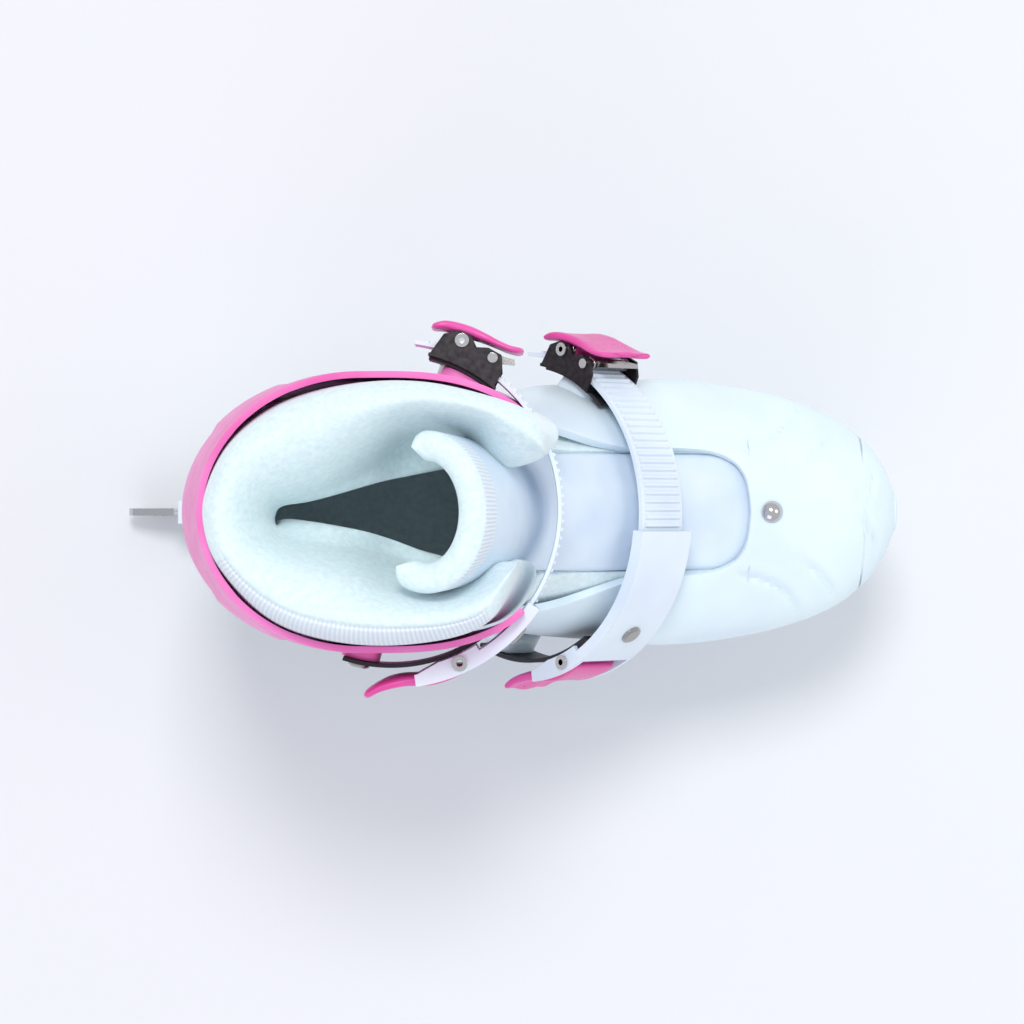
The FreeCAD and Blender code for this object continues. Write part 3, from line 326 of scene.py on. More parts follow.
def makeMesh(name, grids, materials, body=None, uvs=None, flip=False, weld=0.004, closed=True,
             materialRows=None, smoothAngle=None):
    # grids of points (rows, columns, 3) in millimetres become one mesh with quads between neighbours;
    # uvs, where given, are grids of (rows, columns, 2) in millimetres
    verts, quads, marks, maps = [], [], [], []
    start = 0
    for number, grid in enumerate(grids):
        rows, columns = grid.shape[:2]
        index = np.arange(rows * columns).reshape(rows, columns) + start
        quad = np.stack([index[:-1, :-1], index[:-1, 1:], index[1:, 1:], index[1:, :-1]], axis=-1).reshape(-1, 4)
        verts.append(grid.reshape(-1, 3) / 1000)
        quads.append(quad[:, ::-1] if flip else quad)
        mark = np.zeros((rows - 1, columns - 1), int) if materialRows is None else materialRows[number]
        marks.append(np.broadcast_to(mark, (rows - 1, columns - 1)).reshape(-1))
        if uvs is not None:
            maps.append(uvs[number].reshape(-1, 2) / 1000)
        start += rows * columns
    verts, quads, marks = np.concatenate(verts), np.concatenate(quads), np.concatenate(marks)
    mesh = bpy.data.meshes.new(name)
    mesh.vertices.add(len(verts))
    mesh.vertices.foreach_set("co", verts.astype(np.float32).ravel())
    mesh.loops.add(quads.size)
    mesh.loops.foreach_set("vertex_index", quads.astype(np.int32).ravel())
    mesh.polygons.add(len(quads))
    mesh.polygons.foreach_set("loop_start", np.arange(0, quads.size, 4, dtype=np.int32))
    mesh.polygons.foreach_set("material_index", marks.astype(np.int32))
    mesh.update(calc_edges=True)
    if uvs is not None:
        layer = mesh.uv_layers.new(name="UVMap")
        layer.data.foreach_set("uv", np.concatenate(maps)[quads.ravel()].astype(np.float32).ravel())
    mesh.validate()
    for material in materials:
        mesh.materials.append(material)
    tidy = bmesh.new()
    tidy.from_mesh(mesh)
    bmesh.ops.remove_doubles(tidy, verts=tidy.verts, dist=weld / 1000)
    bmesh.ops.dissolve_degenerate(tidy, edges=tidy.edges, dist=1e-7)
    if closed:
        bmesh.ops.recalc_face_normals(tidy, faces=tidy.faces)
    tidy.to_mesh(mesh)
    tidy.free()
    mesh.polygons.foreach_set("use_smooth", np.ones(len(mesh.polygons), bool))
    if smoothAngle:
        mesh.set_sharp_from_angle(angle=math.radians(smoothAngle))
    mesh.update()
    piece = bpy.data.objects.new(name, mesh)
    bpy.context.scene.collection.objects.link(piece)
    if body:
        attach(piece, body)
    return piece


def thicken(piece, thickness, edge=0.0, segments=3):
    # a wall grown inwards from the surface, and its edges rounded
    solid = piece.modifiers.new("wall", "SOLIDIFY")
    solid.thickness = thickness / 1000
    solid.offset = -1
    solid.use_even_offset = True
    if edge:
        rounding = piece.modifiers.new("edges", "BEVEL")
        rounding.width = edge / 1000
        rounding.segments = segments
        rounding.limit_method = "ANGLE"
        rounding.angle_limit = math.radians(50)
    

floorEdges = np.linspace(-0.5, 0.5, 3) * studio["floorSide"]
floorGrid = np.stack([*np.meshgrid(floorEdges, floorEdges, indexing="ij"), np.full((3, 3), -studio["floorDrop"])], axis=-1)
floor = makeMesh("floor", [floorGrid], [floorMaterial], flip=True, closed=False)

print("hard shell")

shell = {
    "wall": 3.2, "edge": 0.8, "throatHalf": 25, "throatFront": 93.5, "throatBend": 60, "throatSquare": 3.2,
    "outerWing": (46, 0.16), "innerWing": (52, 0.42),  # where each throat edge starts to spread, and how fast
    "wingFlare": 4.0, "flareAt": 13, "flareLength": 15, "flareFrom": 95, "flareTo": 140,
    "drum": 56, "ray": 31, "rows": 190, "columns": 131, "lastRow": 13.6,
    "crease": 1.5, "creaseWidth": 1.15, "creaseFade": 5, "creaseFrom": 86,
    "swell": 0.55, "swellAway": 3.4, "swellWidth": 2.4,
    "capAbove": 72, "capEase": 14, "seam": 0.22, "seamWidth": 0.9, "seamFrom": 106, "seamTo": 139, "cuffRecess": 0.9,
}
toeCreases = [
    [(84, -24), (95, -26), (102, -28), (109, -32.5), (113, -38), (114, -44)],
    [(114, -19), (121, -24), (126, -30), (128, -36)],
    [(134, -2), (140, -6), (144, -12), (145.5, -19)],
    [(84, 24), (95, 27), (103, 30), (111, 36), (114, 45)],
    [(114, 20), (122, 26), (127, 33)],
    [(134, 3), (141, 9), (144.5, 18)],
]


def edgeAngle(s, half, front, drum, ray, wing):
    # how far round each row the wall goes: to the seam in front of the throat, to the throat's edge beside it,
    # and to the ankle opening behind it
    row = flowing(formTable, s)
    x = row[:, 0]
    bend = np.clip((x - shell["throatBend"]) / (front - shell["throatBend"]), 0, 1)
    gap = half * (1 - bend ** shell["throatSquare"]) ** (1 / shell["throatSquare"]) + wing[1] * np.maximum(wing[0] - x, 0)
    gap = np.where(x >= front, 0, gap)
    angle = np.degrees(np.arccos(np.clip((gap / row[:, 4]) ** (row[:, 5] / 2), 0, 1)))
    a = np.linspace(-90, 90, 241)
    spots = boot(s[:, None], a[None, :])
    x, z = spots[..., 0] - ankle[0], spots[..., 2] - ankle[1]
    underRay = np.where(x > 0, math.tan(math.radians(ray)) * x - z, -z) * math.cos(math.radians(ray))
    inside = np.maximum(underRay, drum - np.hypot(x, z))
    last = np.argmax(inside[:, ::-1] > 0, axis=1)
    k = np.clip(len(a) - 1 - last, 0, len(a) - 2)
    pick = np.arange(len(s))
    share = np.clip(inside[pick, k] / np.maximum(inside[pick, k] - inside[pick, k + 1], 1e-9), 0, 1)
    return np.minimum(angle, a[k] + share * (a[1] - a[0]))


def wallAngles(rows, columns, half, front, drum, ray, outerWing, innerWing):
    # a grid of section angles from the outer edge (-1) round the sole (0) to the inner edge (1)
    across = np.linspace(-1, 1, columns)[None, :]
    outerEnd = edgeAngle(rows, half, front, drum, ray, outerWing)[:, None]
    innerEnd = edgeAngle(rows, half, front, drum, ray, innerWing)[:, None]
    end = np.where(across < 0, outerEnd, innerEnd)
    row = flowing(formTable, rows)
    # columns stay put up to 30 mm from the middle plane, so that only the last few turn the throat's corners
    still = np.degrees(np.arccos(np.clip((30 / row[:, 4]) ** (row[:, 5] / 2), 0, 1)))[:, None]
    still = np.minimum(np.where(row[:, 4:5] > 31, still, -25), 0.84 * (90 + end) - 90)
    far = np.abs(across)
    reach = np.where(far < 0.78, far / 0.78 * (90 + still), 90 + still + (far - 0.78) / 0.22 * (end - still))
    return -90 - np.sign(across) * reach


cuff = {
    "outward": 3.8, "wall": 2.4, "edge": 0.9, "squarer": 0.8, "forward": 4.0, "rows": 50,
    "bottom": 109, "front": 5, "slants": [((-48, 108), (-30, 126)), ((-30, 126), (2, 186))], "blunt": 5.0,
    "rim": [(-135, 247), (-102, 245), (-62, 238), (-18, 231), (4, 222)], "flexSwell": 1.0,
}


def insideCuff(points):
    # how far a point is above the bottom edge, behind both slants and behind the front edge, with blunt corners
    x, z = points[..., 0], points[..., 2]
    gaps = [z - cuff["bottom"], cuff["front"] - x]
    for (ax, az), (bx, bz) in cuff["slants"]:
        long = math.hypot(bx - ax, bz - az)
        gaps.append((-(bz - az) * (x - ax) + (bx - ax) * (z - az)) / long)
    return -cuff["blunt"] * np.log(sum(np.exp(-np.clip(gap / cuff["blunt"], -60, 60)) for gap in gaps))


rowsOfShell = np.concatenate([
    -np.cos(np.linspace(0, math.pi / 2, 12))[:-1],
    np.linspace(0, 4.3, 60)[:-1], np.linspace(4.3, 5.4, 44)[:-1], np.linspace(5.4, shell["lastRow"], shell["rows"] - 112)])
anglesOfShell = wallAngles(rowsOfShell, shell["columns"], shell["throatHalf"], shell["throatFront"], shell["drum"],
                           shell["ray"], shell["outerWing"], shell["innerWing"])
# the wall steps in a little where the cuff covers it, which leaves room for the cuff's swing
recess = -shell["cuffRecess"] * ease((insideCuff(boot(rowsOfShell[:, None], anglesOfShell)) - 1) / 8)
outerShell = boot(rowsOfShell[:, None], anglesOfShell, recess)
# the outer wing beside the instep stands out round the foot
wing = np.exp(-((outerShell[..., 0] - shell["flareAt"]) / shell["flareLength"]) ** 2)
wing *= ease((outerShell[..., 2] - shell["flareFrom"]) / (shell["flareTo"] - shell["flareFrom"]))
outerShell[..., 1] += shell["wingFlare"] * wing * np.where(outerShell[..., 1] > 0, 1, -0.4)
# moulded creases round the toe cap: a groove with a soft swelling on its toe side
upper = ease((outerShell[..., 2] - shell["capAbove"]) / shell["capEase"])
for line in toeCreases:
    gap = alongLine(line, outerShell)
    ends = [np.hypot(outerShell[..., 0] - spot[0], outerShell[..., 1] - spot[1]) for spot in (line[0], line[-1])]
    fade = ease((np.minimum(*ends) - 0.5) / shell["creaseFade"]) * ease((outerShell[..., 0] - shell["creaseFrom"]) / 8)
    swelling = np.exp(-((np.abs(gap) - shell["swellAway"]) / shell["swellWidth"]) ** 2) * (gap * line[0][1] < 0)
    depth = shell["swell"] * swelling - np.exp(-(gap / shell["creaseWidth"]) ** 2)
    outerShell[..., 2] += shell["crease"] * depth * upper * fade
seam = np.exp(-(outerShell[..., 1] / shell["seamWidth"]) ** 2)
seam *= ease((outerShell[..., 0] - shell["seamFrom"]) / 4) * ease((shell["seamTo"] - outerShell[..., 0]) / 6)
outerShell[..., 2] -= shell["seam"] * seam * upper
shellPiece = makeMesh("hardShell", [outerShell], [whiteShellPlastic], "boot", closed=False, weld=0.02)
thicken(shellPiece, shell["wall"], shell["edge"])
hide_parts("lower_shell")

print("cuff")

def cuffForm(s, turn, grow):
    # the boot form, squarer and fuller in front; turn is degrees from the heel round either side
    ahead = cuff["forward"] * ease((np.abs(turn) - 95) / 45)
    return boot(s, turn - 90, grow, cuff["squarer"], ahead)


def underRim(points):
    rimX, rimZ = np.array(cuff["rim"]).T
    return np.interp(points[..., 0], rimX, rimZ) - points[..., 2]


def crossing(values, s, fromTop):
    # the row at which a column's values change sign, looking down from the top or up from the bottom
    order, rows = (values[::-1], s[::-1]) if fromTop else (values, s)
    k = np.clip(np.argmax(order < 0, axis=0), 1, len(s) - 1)
    pick = np.arange(values.shape[1])
    before, after = order[k - 1, pick], order[k, pick]
    share = np.clip(before / np.maximum(before - after, 1e-9), 0, 1)
    return rows[k - 1] + share * (rows[k] - rows[k - 1])


def cuffRows(turns):
    s = np.linspace(7.5, 18, 900)
    spots = cuffForm(s[:, None], turns[None, :], cuff["outward"])
    lowest = crossing(insideCuff(spots), s, True)
    highest = crossing(underRim(spots), s, False)
    return lowest, highest


trial = np.linspace(-170, 170, 1361)
lowest, highest = cuffRows(trial)
covered = trial[highest > lowest + 0.01]
turns = np.concatenate([covered.min() * np.sin(np.linspace(math.pi / 2, 0, 111))[:-1],
                        covered.max() * np.sin(np.linspace(0, math.pi / 2, 111))])
lowest, highest = cuffRows(turns)
ups = (1 - np.cos(np.linspace(0, math.pi, cuff["rows"]))) / 2
turnGrid, upGrid = np.meshgrid(turns, ups, indexing="ij")
rowGrid = lowest[:, None] + np.maximum(highest - lowest, 0.002)[:, None] * upGrid
# two raised steps run down each side of the outer face from the rim, and the back corners swell to clear the shell
lift = 0.9 * ease((upGrid - 0.15) / 0.2) * (ease((np.abs(turnGrid) - 36) / 2.0) - ease((np.abs(turnGrid) - 64) / 2.0))
lift += cuff["flexSwell"] * np.exp(-((np.abs(turnGrid) - 52) / 22) ** 2) * np.exp(-((upGrid - 0.35) / 0.3) ** 2)
lift *= 1 - 0.85 * ease((upGrid - 0.7) / 0.3)
outerCuff = cuffForm(rowGrid, turnGrid, cuff["outward"] + lift)
cuffPiece = makeMesh("cuffShell", [outerCuff], [pinkCuffPlastic], "cuff", closed=False, flip=False)
thicken(cuffPiece, cuff["wall"], cuff["edge"])
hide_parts("cuff")

print("inner boot")

innerBoot = {
    "inward": -3.9, "padding": 6.6, "edge": 2.2, "throatHalf": 25.6, "throatFront": 99, "drum": 61, "ray": 32.5,
    "wing": (30, 0.1), "columns": 101, "lastRow": 13.4, "lowest": 67.2,
}
rowsOfLiner = np.concatenate([np.linspace(1.3, 4.1, 40)[:-1], np.linspace(4.1, 5.6, 40)[:-1],
                              np.linspace(5.6, innerBoot["lastRow"], 70)])
anglesOfLiner = wallAngles(rowsOfLiner, innerBoot["columns"], innerBoot["throatHalf"], innerBoot["throatFront"],
                           innerBoot["drum"], innerBoot["ray"], innerBoot["wing"], innerBoot["wing"])
linerGrid = boot(rowsOfLiner[:, None], anglesOfLiner, innerBoot["inward"])
linerGrid[..., 2] = np.maximum(linerGrid[..., 2], innerBoot["lowest"])
linerPiece = makeMesh("innerBoot", [linerGrid], [whitePlush], "boot", closed=False, weld=0.02)
thicken(linerPiece, innerBoot["padding"], innerBoot["edge"], 4)
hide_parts("liner_foot")

print("collar")

# From the front of the outer wing round the heel to the front of the inner wing: the outline at the cuff's rim (X, Y),
# the lip of the funnel (X, Y), the crown's height and the lip's height
collar = {
    "outline": [(13, 23), (12.5, 30), (5, 37), (-10, 42.5), (-31, 47), (-52, 47), (-73, 43), (-90, 35.5), (-104, 23),
                (-112, 5), (-111, -10), (-105, -22), (-93, -35), (-79, -43), (-60, -47.4), (-40, -48), (-20, -45),
                (-8, -39), (-1, -27), (2, -19)],
    "lip": [(12, 19), (3, 17.5), (-8, 21), (-20, 27), (-39, 25.5), (-52, 16.5), (-64, 10.5), (-76, 6.5), (-86, 3.5),
            (-89, -1), (-88.5, -5), (-85, -9), (-76, -11), (-66, -12.5), (-55, -14), (-44, -16.5), (-31, -21), (-16, -21.5),
            (-5, -18.5), (1, -17)],
    "crown": [252, 254, 256, 258, 259, 260, 260, 259, 258, 256, 256, 257, 258, 259, 259, 258, 256, 253, 250, 247],
    "lipHeight": [240, 236, 228, 214, 206, 218, 226, 228, 229, 228, 226, 226, 225, 222, 214, 204, 206, 222, 232, 236],
    "narrowing": [0.95, 0.9, 0.8, 0.62, 0.52, 0.66, 0.78, 0.8, 0.9, 1, 1, 0.3, 0.34, 0.45, 0.57, 0.67, 0.72, 0.85, 0.95, 1],
    "shoulderDrop": [8, 9, 12, 22, 24, 16, 10, 9, 8, 8, 8, 8, 8, 9, 14, 24, 24, 14, 8, 8],
    "rim": 240, "drum": 63.5, "ray": 43, "inward": -0.6, "padding": 14, "endRadius": 13.0,
    "columns": 260, "rows": 150, "seamRow": 3.45, "seamFrom": 10.4, "seamTo": 17.2, "groove": 1.3,
    "waves": 0.38, "waveCount": 14, "waveLengths": (9, 26),
}
outline, lip = np.array(collar["outline"], float), np.array(collar["lip"], float)
crown, lipHeight = np.array(collar["crown"], float), np.array(collar["lipHeight"], float)
legAngle = np.degrees(np.arctan2((outline[:, 0] + 54) / 56, outline[:, 1] / 46))
legAngle = np.clip(legAngle, -180, 180)


def onLeg(z, grow):
    # points of the leg form at the collar stations' angles and a height
    s = rowAtHeight(z, legAngle, grow)
    return boot(s, legAngle, grow)


def collarBottom(x):
    return np.maximum(ankle[1] + np.sqrt(np.maximum(collar["drum"] ** 2 - (x - ankle[0]) ** 2, 9)),
                      np.where(x > ankle[0], ankle[1] + math.tan(math.radians(collar["ray"])) * (x - ankle[0]), 0))


bottom = np.minimum(collarBottom(outline[:, 0]), 225)
atRim = onLeg(np.full(len(outline), float(collar["rim"])), collar["inward"])
rings = []
for height in (bottom, (bottom + collar["rim"]) / 2, np.full(len(outline), float(collar["rim"]))):
    shift = onLeg(height, collar["inward"])[:, :2] - atRim[:, :2]
    rings.append(np.column_stack([outline + shift, height]))
for share, drop in ((0.10, 4.5), (0.36, 0.0), (0.70, np.array(collar["shoulderDrop"], float))):
    rings.append(np.column_stack([outline + share * (lip - outline), crown - drop]))
rings.append(np.column_stack([lip, lipHeight]))
innerFoot = onLeg(bottom + 3, -collar["padding"])
innerFoot[:, 2] = bottom + 3
throatLine = np.column_stack([lip[:, 0], lip[:, 1] * collar["narrowing"]])
rings.append(np.column_stack([throatLine, (lipHeight + innerFoot[:, 2]) / 2 + 4]))
rings += [innerFoot, rings[0]]
rings = np.array(rings)  # rings, stations, 3
stations = np.linspace(0, len(outline) - 1, collar["columns"])
around = np.linspace(0, len(rings) - 1, collar["rows"])
throughRings = flowing(rings.reshape(len(rings), -1), around).reshape(len(around), len(outline), 3)
collarGrid = flowing(throughRings.transpose(1, 0, 2).reshape(len(outline), -1), stations)
collarGrid = collarGrid.reshape(len(stations), len(around), 3)
# both wing ends close in a round nose
run = np.concatenate([[0], np.cumsum(np.linalg.norm(np.diff(collarGrid[:, 60], axis=0), axis=1))])
fromEnd = np.minimum(run, run[-1] - run)
nose = np.sqrt(1 - (1 - np.clip(fromEnd / collar["endRadius"], 0, 1)) ** 2)[:, None, None]
heart = collarGrid.mean(axis=1, keepdims=True)
nose = np.maximum(nose, 0.0001)
collarGrid = heart + (collarGrid - heart) * np.concatenate([nose, nose, nose ** 0.35], axis=2)
# soft hand-made unevenness of the stuffing, and the seam's groove along the knit band
generator = np.random.default_rng(7)
wave = np.zeros(collarGrid.shape[:2])
for number in range(collar["waveCount"]):
    way = generator.normal(size=3) / generator.uniform(*collar["waveLengths"])
    wave += np.sin(collarGrid @ way * 2 * math.pi / 3 + generator.uniform(0, 6.28)) / collar["waveCount"] ** 0.5
onTop = ease((collarGrid[..., 2] - 205) / 25)
collarGrid[..., 2] += collar["waves"] * wave * onTop
stationGrid, ringGrid = np.meshgrid(stations, around, indexing="ij")
knit = ease((stationGrid - collar["seamFrom"]) / 0.5) * ease((collar["seamTo"] - stationGrid) / 0.5)
collarGrid[..., 2] -= collar["groove"] * knit * np.exp(-((ringGrid - collar["seamRow"]) / 0.07) ** 2)
ringRun = np.cumsum(np.linalg.norm(np.diff(collarGrid, axis=1, prepend=collarGrid[:, :1]), axis=2), axis=1)
collarMap = np.stack([np.broadcast_to(run[:, None], ringRun.shape), ringRun], axis=-1)
knitFaces = ((knit > 0.5) & (ringGrid > 0.8) & (ringGrid < collar["seamRow"]))[:-1, :-1].astype(int)
collarPiece = makeMesh("collar", [collarGrid], [whitePlush, whiteRibKnit], "cuff", uvs=[collarMap],
                       materialRows=[knitFaces])
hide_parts("liner_collar")

print("tongue")

# From the toe end up to the roll: the outer face's line (X, Z), half the width and the depth of each arc,
# how far it turns to the outer and the inner side, and the padding
tongue = {
    "line": [(98, 114.8), (82, 120.8), (66, 128.3), (50.5, 142.5), (36, 159.5), (25, 173), (15.5, 186), (9, 202), (3.5, 221),
             (-3, 242), (-10, 263)],
    "halfWidth": [47, 47, 46, 43, 38, 33, 30, 28.5, 28, 28.5, 29.5],
    "depth": [30, 32, 36, 38, 36, 33, 30, 28, 26, 24, 23],
    "turnOuter": [30, 30.3, 31, 33.5, 39, 46, 53, 66, 84, 98, 106],
    "turnInner": [30, 30.3, 31, 33.5, 39, 46, 53, 68, 88, 110, 128],
    "padding": [4, 5.5, 6.5, 6.5, 6.5, 7, 7.5, 8.5, 9.5, 10.5, 11],
    "centreY": 0.0, "rows": 150, "columns": 110, "kneeFrom": (22, 0, 165), "kneeTo": (-8, 0, 215),
}


def pillow(middle, normal, half):
    # two faces a half thickness each side of a middle surface; they meet where the thickness runs out
    return [middle + normal * half[..., None], (middle - normal * half[..., None])[:, ::-1]]


def clustered(count):
    # shares from -1 to 1, closer together near both ends
    return -np.cos(np.linspace(0, math.pi, count))


def roundOff(share, sharpness):
    # 1 in the middle and 0 at -1 and 1, with a round shoulder
    return np.sqrt(np.maximum(1 - np.abs(share) ** sharpness, 0))


alongTongue = clustered(tongue["rows"])
steps = (alongTongue + 1) / 2 * (len(tongue["line"]) - 1)
row = flowing(np.column_stack([tongue[key] for key in ("line", "halfWidth", "depth", "turnOuter", "turnInner", "padding")]),
              steps)
slope = np.gradient(row[:, :2], steps, axis=0)
slope /= np.linalg.norm(slope, axis=1)[:, None]
outward = np.stack([slope[:, 1], np.zeros(len(slope)), -slope[:, 0]], axis=-1)
outward *= np.sign(outward[:, 2] + outward[:, 0])[:, None]
acrossTongue = clustered(tongue["columns"])
turn = np.radians(np.where(acrossTongue[None, :] > 0, row[:, 4:5] * acrossTongue, row[:, 5:6] * acrossTongue))
centre = np.stack([row[:, 0], np.full(len(row), tongue["centreY"]), row[:, 1]], axis=-1)
halfWidth, depth = row[:, 2:3], row[:, 3:4]
face = centre[:, None] - outward[:, None] * (depth * (1 - np.cos(turn)))[..., None]
face = face + np.array((0, 1, 0)) * (halfWidth * np.sin(turn))[..., None]
normal = outward[:, None] * (np.cos(turn) / depth)[..., None] + np.array((0, 1, 0)) * (np.sin(turn) / halfWidth)[..., None]
normal /= np.linalg.norm(normal, axis=2, keepdims=True)
run = np.concatenate([[0], np.cumsum(np.linalg.norm(np.diff(row[:, :2], axis=0), axis=1))])
taper = np.sqrt(1 - (1 - np.clip(np.minimum(run, run[-1] - run) / 5.0, 0, 1)) ** 2)[:, None]
acrossRun = np.cumsum(np.linalg.norm(np.diff(face, axis=1, prepend=face[:, :1]), axis=2), axis=1)
fromSide = np.minimum(acrossRun, acrossRun[:, -1:] - acrossRun) / (0.55 * row[:, 6:7])
halfPad = row[:, 6:7] / 2 * np.sqrt(1 - (1 - np.clip(fromSide, 0, 1)) ** 2) * taper
middle = face - normal * (row[:, 6:7] / 2)[..., None]
# a soft fold where the tongue bends above the instep
halfPad = halfPad * (1 - 0.22 * np.exp(-((run[:, None] - run[-1] * 0.60) / 7) ** 2) * roundOff(acrossTongue, 4)[None, :])
tongueGrids = pillow(middle, normal, halfPad)
acrossRun = np.broadcast_to(acrossRun[-12:-11], acrossRun.shape)  # ribs run straight up the cloth
tongueMap = np.stack([acrossRun, np.broadcast_to(run[:, None], acrossRun.shape)], axis=-1)
fromTop = (run[-1] - run)[:, None]
ribbed = np.broadcast_to(np.where(fromTop < 3.5, 2, np.where(fromTop < 15, 1, 0)), acrossRun.shape)[:-1, :-1].astype(int)
linedBack = np.full(ribbed.shape, 2)
tonguePiece = makeMesh("tongue", tongueGrids, [tongueLining, whiteRibKnit, whitePlush], None,
                       uvs=[tongueMap, tongueMap[:, ::-1]], materialRows=[ribbed, linedBack])
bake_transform(tonguePiece)
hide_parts("tongue_lower", "tongue_upper")

print("buckle levers and springs")

strapFrames = {  # centre of each strap's arc, the way out over its top, the strap's width direction, and its radius
    "instep": {"centre": (12.89, -0.5, 103.775), "out": (0.70711, 0, 0.70711), "across": (-0.70711, 0, 0.70711),
               "radius": 62, "ratchet": 66, "toggle": -68},
    "cuff": {"centre": (-44.544, 1, 201.616), "out": (1, 0, 0), "across": (0, 0, 1), "radius": 61.5,
             "ratchet": 63, "toggle": -66},
}


def fromBuckle(name, angle, points):
    # local points (out from the strap, round the strap, along its width) to the boot's own frame
    place = strapFrames[name]
    out, across = np.array(place["out"]), np.array(place["across"])
    roundStrap = np.cross(across, out)
    turn = math.radians(angle)
    x = math.cos(turn) * out + math.sin(turn) * roundStrap
    y = -math.sin(turn) * out + math.cos(turn) * roundStrap
    base = np.array(place["centre"]) + x * place["radius"]
    return base + points[..., 0:1] * x + points[..., 1:2] * y + points[..., 2:3] * across


def hub(pin, radius, bore, half, tab):
    # a barrel round a pin with a tab up to the lever: rings of points round the pin, closed through the bore
    turn = np.linspace(0, 2 * math.pi, 49)
    cosine, sine = np.cos(turn), np.sin(turn)
    reach = ((np.abs(cosine) / tab[0]) ** 6 + (np.abs(sine) / tab[1]) ** 6) ** (-1 / 6)
    outer = np.where(cosine > 0, np.maximum(radius, reach), radius)
    rows = []
    edge = 0.4
    for r, z in ((bore, -half), (outer - edge, -half), (outer, edge - half), (outer, half - edge), (outer - edge, half),
                 (bore, half), (bore, -half)):
        rows.append(np.stack([pin[0] + r * cosine, pin[1] + r * sine, np.full(len(turn), z)], axis=-1))
    return np.array(rows)


lever = {
    "line": [(5.4, 17.4), (8.6, 12.6), (10.4, 5), (10.8, -2), (10.8, -7), (11.2, -12), (12.6, -16.8)],
    "thick": [2.2, 3.4, 3.8, 3.2, 2.6, 2.4, 2.6], "half": 14.3, "dish": 1.0, "pin": (5.8, 5.0), "hubHalf": 8.4,
    "hubRadius": 3.0, "bore": 1.96, "tab": (3.9, 2.7), "dishAt": 0.30, "lobes": 0.2, "body": "lever",
}
toggle = {
    "line": [(3.2, 3.2), (2.6, -4), (3.0, -12), (2.8, -21), (4.6, -29), (8.4, -34.5)],
    "thick": [2.4, 5.0, 4.8, 3.8, 3.4, 2.6], "half": 11.9, "dish": 1.8, "pin": (0.6, 0.0), "hubHalf": 11.9,
    "hubRadius": 3.1, "bore": 2.06, "tab": (2.2, 2.9), "dishAt": 0.66, "lobes": 0.5, "body": "toggle",
}
for name in strapFrames:
    for kind, shape in (("ratchet", lever), ("toggle", toggle)):
        lengthwise, widthwise = clustered(70), clustered(60)
        rows = flowing(np.column_stack([shape["line"], shape["thick"]]), (lengthwise + 1) / 2 * (len(shape["line"]) - 1))
        w = widthwise[None, :] * np.ones((len(lengthwise), 1))
        t = (lengthwise[:, None] + 1) / 2
        waist = 1 - 0.10 * np.exp(-((t - 0.42) / 0.22) ** 2)
        plan = waist * (1 - np.abs(lengthwise[:, None]) ** 14) ** (1 / 5)
        sag = shape["dish"] * (1 - w ** 2) * np.exp(-((t - shape["dishAt"]) / 0.22) ** 2)
        lobes = shape["lobes"] * np.cos(w * 3 * math.pi / 2) * ease((t - 0.72) / 0.25)
        lengths = np.broadcast_to(rows[:, 1:2], w.shape)
        middle = np.stack([rows[:, 0:1] - sag + lobes, lengths, w * shape["half"] * plan], axis=-1)
        radius = strapFrames[name]["radius"]
        if kind == "toggle":  # the toggle's paddle follows the strap's arc
            reach, turn = radius + middle[..., 0], middle[..., 1] / radius
            middle = np.stack([reach * np.cos(turn) - radius, reach * np.sin(turn), middle[..., 2]], axis=-1)
        du, dv = np.gradient(middle, axis=0), np.gradient(middle, axis=1)
        normal = np.cross(du, dv)
        normal /= np.maximum(np.linalg.norm(normal, axis=2, keepdims=True), 1e-9)
        half = rows[:, 2:3] / 2 * roundOff(w, 12) * roundOff(lengthwise, 16)[:, None]
        grids = [fromBuckle(name, strapFrames[name][kind], grid) for grid in pillow(middle, normal, half)]
        barrel = hub(shape["pin"], shape["hubRadius"], shape["bore"], shape["hubHalf"], shape["tab"])
        grids.append(fromBuckle(name, strapFrames[name][kind], barrel))
        paddle = makeMesh(f"{name}{kind.capitalize()}Paddle", grids, [pinkLeverPlastic], f"{name}_{shape['body']}",
                          smoothAngle=50)
        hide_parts(f"{name}_{kind}_lever")

# moulded pads that carry the buckles' feet on the wall: angle round the strap, half sizes round and along it,
# the top's distance inside the strap's arc, the depth, the body and the finish
footPads = {
    "instepRatchetPad": ("instep", 63, 9.5, 10.2, -4.7, 7, "boot", whiteShellPlastic, "shell_white"),
    "instepAnchorPad": ("instep", -110, 7.5, 9.0, -4.65, 8, "boot", whiteShellPlastic, "shell_white"),
    "cuffRatchetPad": ("cuff", 59, 11, 10.2, -4.7, 9, "cuff", pinkCuffPlastic, "cuff_pink"),
    "cuffAnchorPad": ("cuff", -102, 7.5, 9.0, -4.65, 9, "cuff", pinkCuffPlastic, "cuff_pink"),
}
for name, (strap, angle, halfRound, halfAcross, top, deep, body, finish, slotName) in footPads.items():
    turn = np.linspace(0, 2 * math.pi, 65)
    cosine, sine = np.cos(turn), np.sin(turn)
    planY = np.sign(cosine) * np.abs(cosine) ** 0.5 * halfRound
    planZ = np.sign(sine) * np.abs(sine) ** 0.5 * halfAcross
    loops = []
    onWall = strapFrames[strap]["radius"] + top
    for wide, height in ((0, -deep), (1.22, -deep), (1.08, -deep * 0.45), (1.0, -1.2), (0.975, -0.35), (0.93, 0), (0, 0)):
        reach, bow = onWall + height, planY * wide / onWall
        inwards = reach * np.cos(bow) - strapFrames[strap]["radius"]
        loops.append(np.stack([inwards, reach * np.sin(bow), planZ * wide], axis=-1))
    makeMesh(name, [fromBuckle(strap, angle, np.array(loops))], [finish], body)

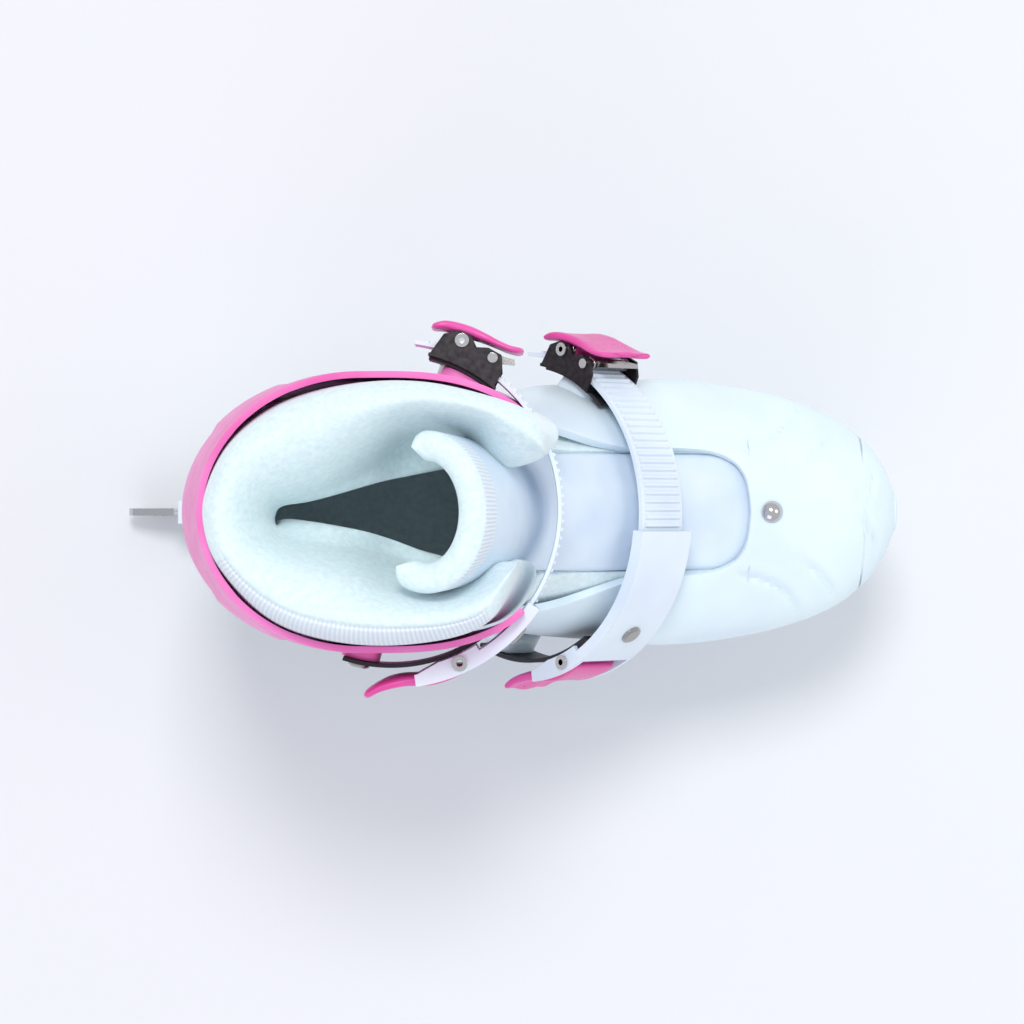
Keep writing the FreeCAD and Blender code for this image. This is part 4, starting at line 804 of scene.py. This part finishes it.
# coil springs beside each hub: a helix of round wire with both ends run out as legs
springs = {  # out from the strap and round it, the coil's radius, turns, and the hub's half width
    "lever": ((5.8, 5.0), 2.75, 3.0, 9.7), "pawl": ((5.2, -8.0), 2.05, 2.4, 9.7),
}
for name in strapFrames:
    for kind, (pin, coil, winds, beside) in springs.items():
        grids = []
        for way in (-1, 1):
            share = np.linspace(0, 1, 90)
            turn = 2 * math.pi * winds * share
            axis = way * (beside - 0.9 + 0.2 + share * winds * 0.32)
            line = np.stack([pin[0] + coil * np.cos(turn), pin[1] + coil * np.sin(turn), axis], axis=-1)
            leg = np.array([0.0, -1.0, 0.0]) * np.linspace(2.6, 0.3, 6)[:, None] * (1 if kind == "lever" else -1)
            lastLeg = np.array([-0.2, 1.0, 0.0]) * np.linspace(0.3, 2.2, 6)[:, None]
            line = np.concatenate([line[0] + leg, line, line[-1] + lastLeg])
            along = np.gradient(line, axis=0)
            along /= np.linalg.norm(along, axis=1)[:, None]
            first = np.cross(along, (0.0, 0.0, 1.0))
            first /= np.linalg.norm(first, axis=1)[:, None]
            second = np.cross(along, first)
            ring = np.linspace(0, 2 * math.pi, 9)
            taper = np.ones(len(line)) * 0.42
            taper[[0, -1]] = 0.001
            spokes = np.cos(ring)[None, :, None] * first[:, None] + np.sin(ring)[None, :, None] * second[:, None]
            tube = line[:, None] + taper[:, None, None] * spokes
            grids.append(fromBuckle(name, strapFrames[name]["ratchet"], tube))
        coilPiece = makeMesh(f"{name}{kind.capitalize()}Coil", grids, [springWire], {"instep": "boot", "cuff": "cuff"}[name])
        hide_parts(f"{name}_{kind}_spring")

print("finishes of the carried-over pieces")

finishes = {
    "shell_white": whiteShellPlastic, "holder_white": whiteHolderPlastic, "blade_steel": groundBladeSteel,
    "nickel": nickelPlate, "screw_steel": zincScrewSteel, "footbed_grey": paintedShadeFootbed, "plush_white": whitePlush,
    "strap_black": blackStrapPlastic, "cuff_pink": pinkCuffPlastic, "dark_steel": blackPressedSteel,
    "spring_steel": springWire, "strap_white": whiteStrapPlastic, "lever_pink": pinkLeverPlastic,
}
slotOf = {part["node"]: part["material_slot"] for part in frame["record"]["subparts"]}
for name, piece in nodes.items():
    finish = finishes[slotOf[name]]
    if piece.data.materials:
        for k in range(len(piece.data.materials)):
            piece.data.materials[k] = finish
    else:
        piece.data.materials.append(finish)
